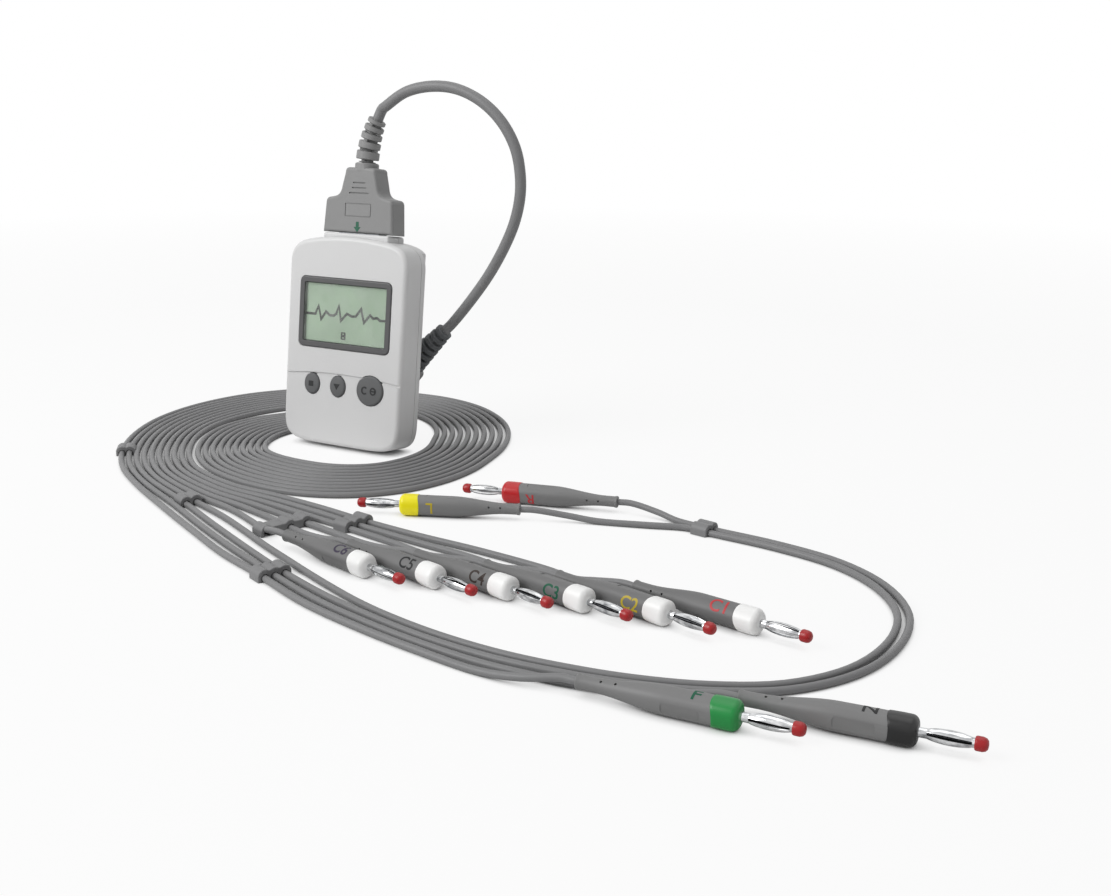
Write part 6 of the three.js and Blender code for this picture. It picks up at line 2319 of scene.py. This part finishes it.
@dataclass
class JunctionUnit:
    """Flat box behind the case where the trunk cable divides into the leads."""

    leads: LeadSet
    width: float = 30.0
    end_width: float = 15.0
    taper: float = 21.0
    thickness: float = 13.0
    rounding: float = 2.4
    corner: float = 6.0
    collet_radius: float = 2.1
    boot_core: float = 3.2
    boot_rings: int = 7
    boot_radius: Point2 = (6.6, 4.4)
    ring_share: float = 0.65
    seam_half: float = 0.25
    seam_depth: float = 0.45
    collet_profile: tuple[Point2, ...] = (
        (-0.35, 0.0), (0.0, 0.35), (0.0, 1.1), (-0.3, 1.3), (-0.3, 1.7), (0.0, 1.9),
    )

    def outline(self) -> Outline:
        """Front view of the box: wide where the leads leave, drawn in towards the trunk cable.

        Returns:
            The outline.
        """
        half, end, taper = self.width / 2, self.end_width / 2, self.taper
        rear = self.corner - self.leads.box_length
        side = half - self.corner
        pen = Pen(steps=14).to(rear, -half).to(-taper, -half)
        pen.bend([(-0.6 * taper, -half), (-0.4 * taper, -end)], (-end / 2, -end))
        pen.bend([(0, -end)], (0, -end / 2)).to(0, end / 2).bend([(0, end)], (-end / 2, end))
        pen.bend([(-0.4 * taper, end), (-0.6 * taper, half)], (-taper, half)).to(rear, half)
        pen.arc((rear, side), self.corner, 90, 180).arc((rear, -side), self.corner, 180, 270)
        return pen.closed()

    def box(self) -> Piece:
        """Makes the box with a seam round it and a collet for each lead.

        Returns:
            The finished piece.
        """
        outline = self.outline()
        half = self.thickness / 2
        body = slab(outline, -half, half, self.rounding, self.rounding, 7)
        seam = slab(inset(outline, -1.0), -self.seam_half, self.seam_half)
        combine(seam, Op.CUT, slab(inset(outline, self.seam_depth), -1, 1))
        combine(body, Op.CUT, seam)
        for lead in range(self.leads.count):
            leaves = self.leads.exit(lead)
            root = (0.0, self.leads.collet + self.corner)
            profile = [
                (self.collet_radius + size, leaves.x + along)
                for size, along in (*self.collet_profile, root)
            ]
            place = Matrix.Translation((0, leaves.y, leaves.z))
            combine(body, Op.JOIN, turned("collet", profile, place, 20))
        return finish_piece(
            body, "junction_housing", JUNCTION_FRAME, HOOD, Slot.MOULDING, ["junction_box"],
            crease=30,
        )

    def boot(self) -> Piece:
        """Makes the dark strain relief of the trunk cable.

        Returns:
            The finished piece.
        """
        pitch = (JUNCTION_BOOT_LENGTH - CLEARANCE) / (self.boot_rings - 1 + self.ring_share)
        segments = []
        for number in range(self.boot_rings):
            start = CLEARANCE + number * pitch
            share = number / (self.boot_rings - 1)
            segments.append((start, start + self.ring_share * pitch, lerp(*self.boot_radius, share)))

        def along(distance: float) -> tuple[Vector, Vector]:
            """Place and direction on the boot's middle line."""
            return Vector((distance, 0, 0)), Vector((1, 0, 0))

        boot = segmented_boot("boot", segments, self.boot_core, along)
        return finish_piece(
            boot, "junction_strain_relief", JUNCTION_FRAME, DARK_BOOT, Slot.BOOT,
            ["junction_boot"], crease=40,
        )

    def build(self) -> list[Piece]:
        """Makes the junction.

        Returns:
            Its pieces.
        """
        return [self.box(), self.boot()]


# Plugs


def square_ring(
    along: Callable[[float], float], half: float, power: float, sides: int = 40,
) -> list[Point3]:
    """Ring across the x axis, between a circle and a square with soft corners.

    Args:
        along: x at an angle round the ring.
        half: half of its width.
        power: 2 for a circle, more for a squarer ring.
        sides: points of the ring.

    Returns:
        The points.
    """
    points = []
    for side in range(sides):
        angle = 2 * math.pi * side / sides
        y = math.copysign(abs(math.cos(angle)) ** (2 / power), math.cos(angle))
        z = math.copysign(abs(math.sin(angle)) ** (2 / power), math.sin(angle))
        points.append((along(angle), half * y, half * z))
    return points


def flat_ring(along: float, half: float, power: float = 2.0) -> list[Point3]:
    """Flat ring across the x axis."""
    return square_ring(lambda _: along, half, power)


@dataclass
class BananaPlug:
    """A 4 mm plug: moulded handle, coloured cap, bowed contact pin and red tip."""

    leads: LeadSet
    pin: float = 19.5
    cap_length: float = 8.6
    cap_half: float = 4.65
    handle_half: float = 4.4
    squareness: float = 2.4
    tail_radius: float = 2.4
    tail: float = 6.0
    taper: float = 24.0
    cap_slant: float = 0.5
    recess: float = 0.2
    leaves: int = 4
    leaf_span: float = 60.0
    leaf_twist: float = 8.0
    letter_size: float = 6.8
    label_gap: float = 5.4
    letter_shift: float = 1.2
    dot_turn: float = 20.0
    dots: tuple[Point2, ...] = ((8.5, 2.6), (13.5, 3.0))
    dot_profile: tuple[Point2, ...] = ((0.45, -1.0), (0.45, 2.0))
    panel: Point3 = (12.5, 4.2, 1.6)
    tail_rings: tuple[Point2, ...] = (
        (0.0, 1.9), (0.0, 2.45), (0.25, 2.65), (0.9, 2.6), (1.6, 2.4),
    )
    nose: float = 2.2
    core_profile: tuple[Point2, ...] = ((0.6, -17.6), (0.95, -17.0), (0.95, -5.0), (0.6, -4.4))
    root_profile: tuple[Point2, ...] = ((1.5, -17.1), (1.0, -16.9))
    collar_profile: tuple[Point2, ...] = ((1.0, -4.7), (1.5, -4.5), (1.5, -3.2))
    tip_profile: tuple[Point2, ...] = (
        (1.5, -3.9), (2.0, -3.75), (2.2, -3.3), (2.2, -1.6), (1.9, -0.7), (1.3, -0.15), (0.5, 0),
    )
    leaf_ends: Point2 = (-17.2, -4.2)
    leaf_start: float = 0.5
    leaf_radius: float = 1.45
    leaf_bow: float = 0.85
    leaf_thickness: float = 0.32

    def handle(self) -> Piece:
        """Handle that swells from the round tail to the square grip.

        Returns:
            The closed mesh.
        """
        start = -self.leads.plug_length
        ends = (*self.tail_rings, (self.tail, self.tail_radius))
        rings = [flat_ring(start + shift, half) for shift, half in ends]
        for step in range(1, 15):
            share = step / 14
            rise = smoothstep(share, 0, 1)
            x = start + self.tail + share * self.taper
            half = lerp(self.tail_radius, self.handle_half, rise)
            rings.append(flat_ring(x, half, lerp(2.0, self.squareness, rise)))
        grip = start + self.tail + self.taper
        for x in (grip + 5, grip + 10, -self.pin - 5):
            rings.append(flat_ring(x, self.handle_half, self.squareness))
        body = loft("handle", rings)
        for side in (-1, 1):
            faces = sorted((side * (self.handle_half - self.recess), side * (self.handle_half + 2)))
            panel = rounded_rectangle(*self.panel, (grip + 5.5, 0), 6)
            combine(body, Op.CUT, slab(panel, *faces))
        turn = Matrix.Rotation(math.radians(self.dot_turn), 4, "X")
        upright = Matrix.Rotation(-math.pi / 2, 4, "Y")
        for shift, z in self.dots:
            place = turn @ Matrix.Translation((start + shift, 0, z)) @ upright
            combine(body, Op.CUT, turned("dot", self.dot_profile, place, 16))
        return body

    def cap(self) -> Piece:
        """Coloured cap whose rear edge slants at the corners.

        Returns:
            The closed mesh.
        """
        front = -self.pin
        back = front - self.cap_length
        rings = [flat_ring(front, 1.7)]
        for step in range(9):
            angle = math.pi / 2 * step / 8
            half = self.cap_half - self.nose * (1 - math.sin(angle))
            x = front - self.nose * (1 - math.cos(angle))
            rings.append(flat_ring(x, half, lerp(2.2, self.squareness, step / 8)))
        middle = front - 0.55 * self.cap_length
        rings.append(flat_ring(middle, self.cap_half + 0.05, self.squareness))

        def edge(shift: float) -> Callable[[float], float]:
            """Rear edge, moved along the plug."""
            return lambda angle: back + shift + self.cap_slant * math.cos(2 * angle)

        for shift, depth in ((0.9, 0.0), (0.2, 0.04), (0.0, 0.16), (0.3, 0.6)):
            rings.append(square_ring(edge(shift), self.cap_half - depth, self.squareness))
        rings.append(flat_ring(front - 4.0, self.cap_half - 0.8, self.squareness))
        return loft("cap", rings)

    def pin_parts(self) -> list[Piece]:
        """Bowed spring leaves between a root sleeve and a front collar.

        Returns:
            Closed meshes.
        """
        still = Matrix.Identity(4)
        parts = [
            turned("root", [(1.5, -self.pin - 3.0), *self.root_profile], still, 24),
            turned("collar", self.collar_profile, still, 24),
        ]
        span = math.radians(self.leaf_span)
        twist = math.radians(self.leaf_twist)
        for leaf in range(self.leaves):
            middle = 2 * math.pi * leaf / self.leaves + self.leaf_start
            rings = []
            for step in range(15):
                share = step / 14
                x = lerp(*self.leaf_ends, share)
                bow = self.leaf_radius
                if 0 < share < 1:
                    bow += self.leaf_bow * math.sin(math.pi * share) ** 0.7
                turn = middle + twist * (share - 0.5)
                ring = []
                for way, size in ((1, bow), (-1, bow - self.leaf_thickness)):
                    for part in range(6):
                        angle = turn + way * span * (part / 5 - 0.5)
                        ring.append((x, size * math.cos(angle), size * math.sin(angle)))
                rings.append(ring)
            parts.append(loft("leaf", rings))
        return parts

    def build(self, lead: int) -> None:
        """Makes the plug of one lead.

        Args:
            lead: number of the lead.
        """
        made = LEADS[lead]
        place = (
            FLOOR_FRAME @ Matrix.Translation((*made.tip, self.leads.plug_axis))
            @ Matrix.Rotation(math.radians(made.heading), 4, "Z")
            @ Matrix.Rotation(math.radians(made.roll), 4, "X")
        )
        code, still = made.code, Matrix.Identity(4)
        # Chest-row plugs take the darker copy of the handle rubber, which is painted shade.
        rubber = SHADED_HANDLE if made.cap is CapFinish.WHITE else HANDLE
        handle = finish_piece(
            self.handle(), f"plug_handle_{code}", place, rubber, Slot.HANDLE,
            [f"plug_{code}"], crease=38,
        )
        cap = finish_piece(
            self.cap(), f"plug_cap_{code}", place, made.cap.value, Slot.HANDLE, crease=50,
        )
        pin = finish_piece(
            merged("pin", self.pin_parts()), f"contact_pin_{code}", place, CHROME,
            Slot.PIN, [f"pin_{code}"], crease=45,
        )
        # The dark core stands for the shade in the slots between the leaves: painted shade.
        core = turned("core", self.core_profile, still, 20)
        core = finish_piece(core, f"pin_shade_core_{code}", place, PIN_SHADE_CORE)
        tip = turned("tip", self.tip_profile, still, 28)
        tip = finish_piece(tip, f"pin_tip_{code}", place, TIP_RED, crease=60)
        middle = -self.pin - self.cap_length - self.label_gap - self.letter_shift * (len(code) - 1)
        label = lettering(
            f"lead_code_{code}", code, self.letter_size,
            place @ Matrix.Translation((middle, 0, self.handle_half)), made.ink.value,
            over=(self.handle_half, self.squareness),
        )
        self.leads.riders[lead] += [handle, cap, pin, core, tip, label]


def build_all() -> None:
    """Makes every sub-assembly in order."""
    Stage().build()
    leads = LeadSet()
    leads.lay()
    trunk = TrunkCable()
    case = CaseShells()
    case.build()
    BatteryDoor(case).build()
    DisplayWindow(case).build()
    Keypad().build()
    CaseScrews(case).build()
    dress_inside()
    connector = CableConnector().build()
    junction = JunctionUnit(leads).build()
    trunk.build([*connector, *junction])
    plug = BananaPlug(leads)
    for lead in range(len(LEADS)):
        plug.build(lead)
    for clip in CLIPS:
        leads.clip(clip)
    leads.declare()


def main() -> None:
    """Builds the dressed object."""
    logging.basicConfig(level=logging.INFO, format="%(message)s")
    build_all()


if __name__ == "__main__":
    main()
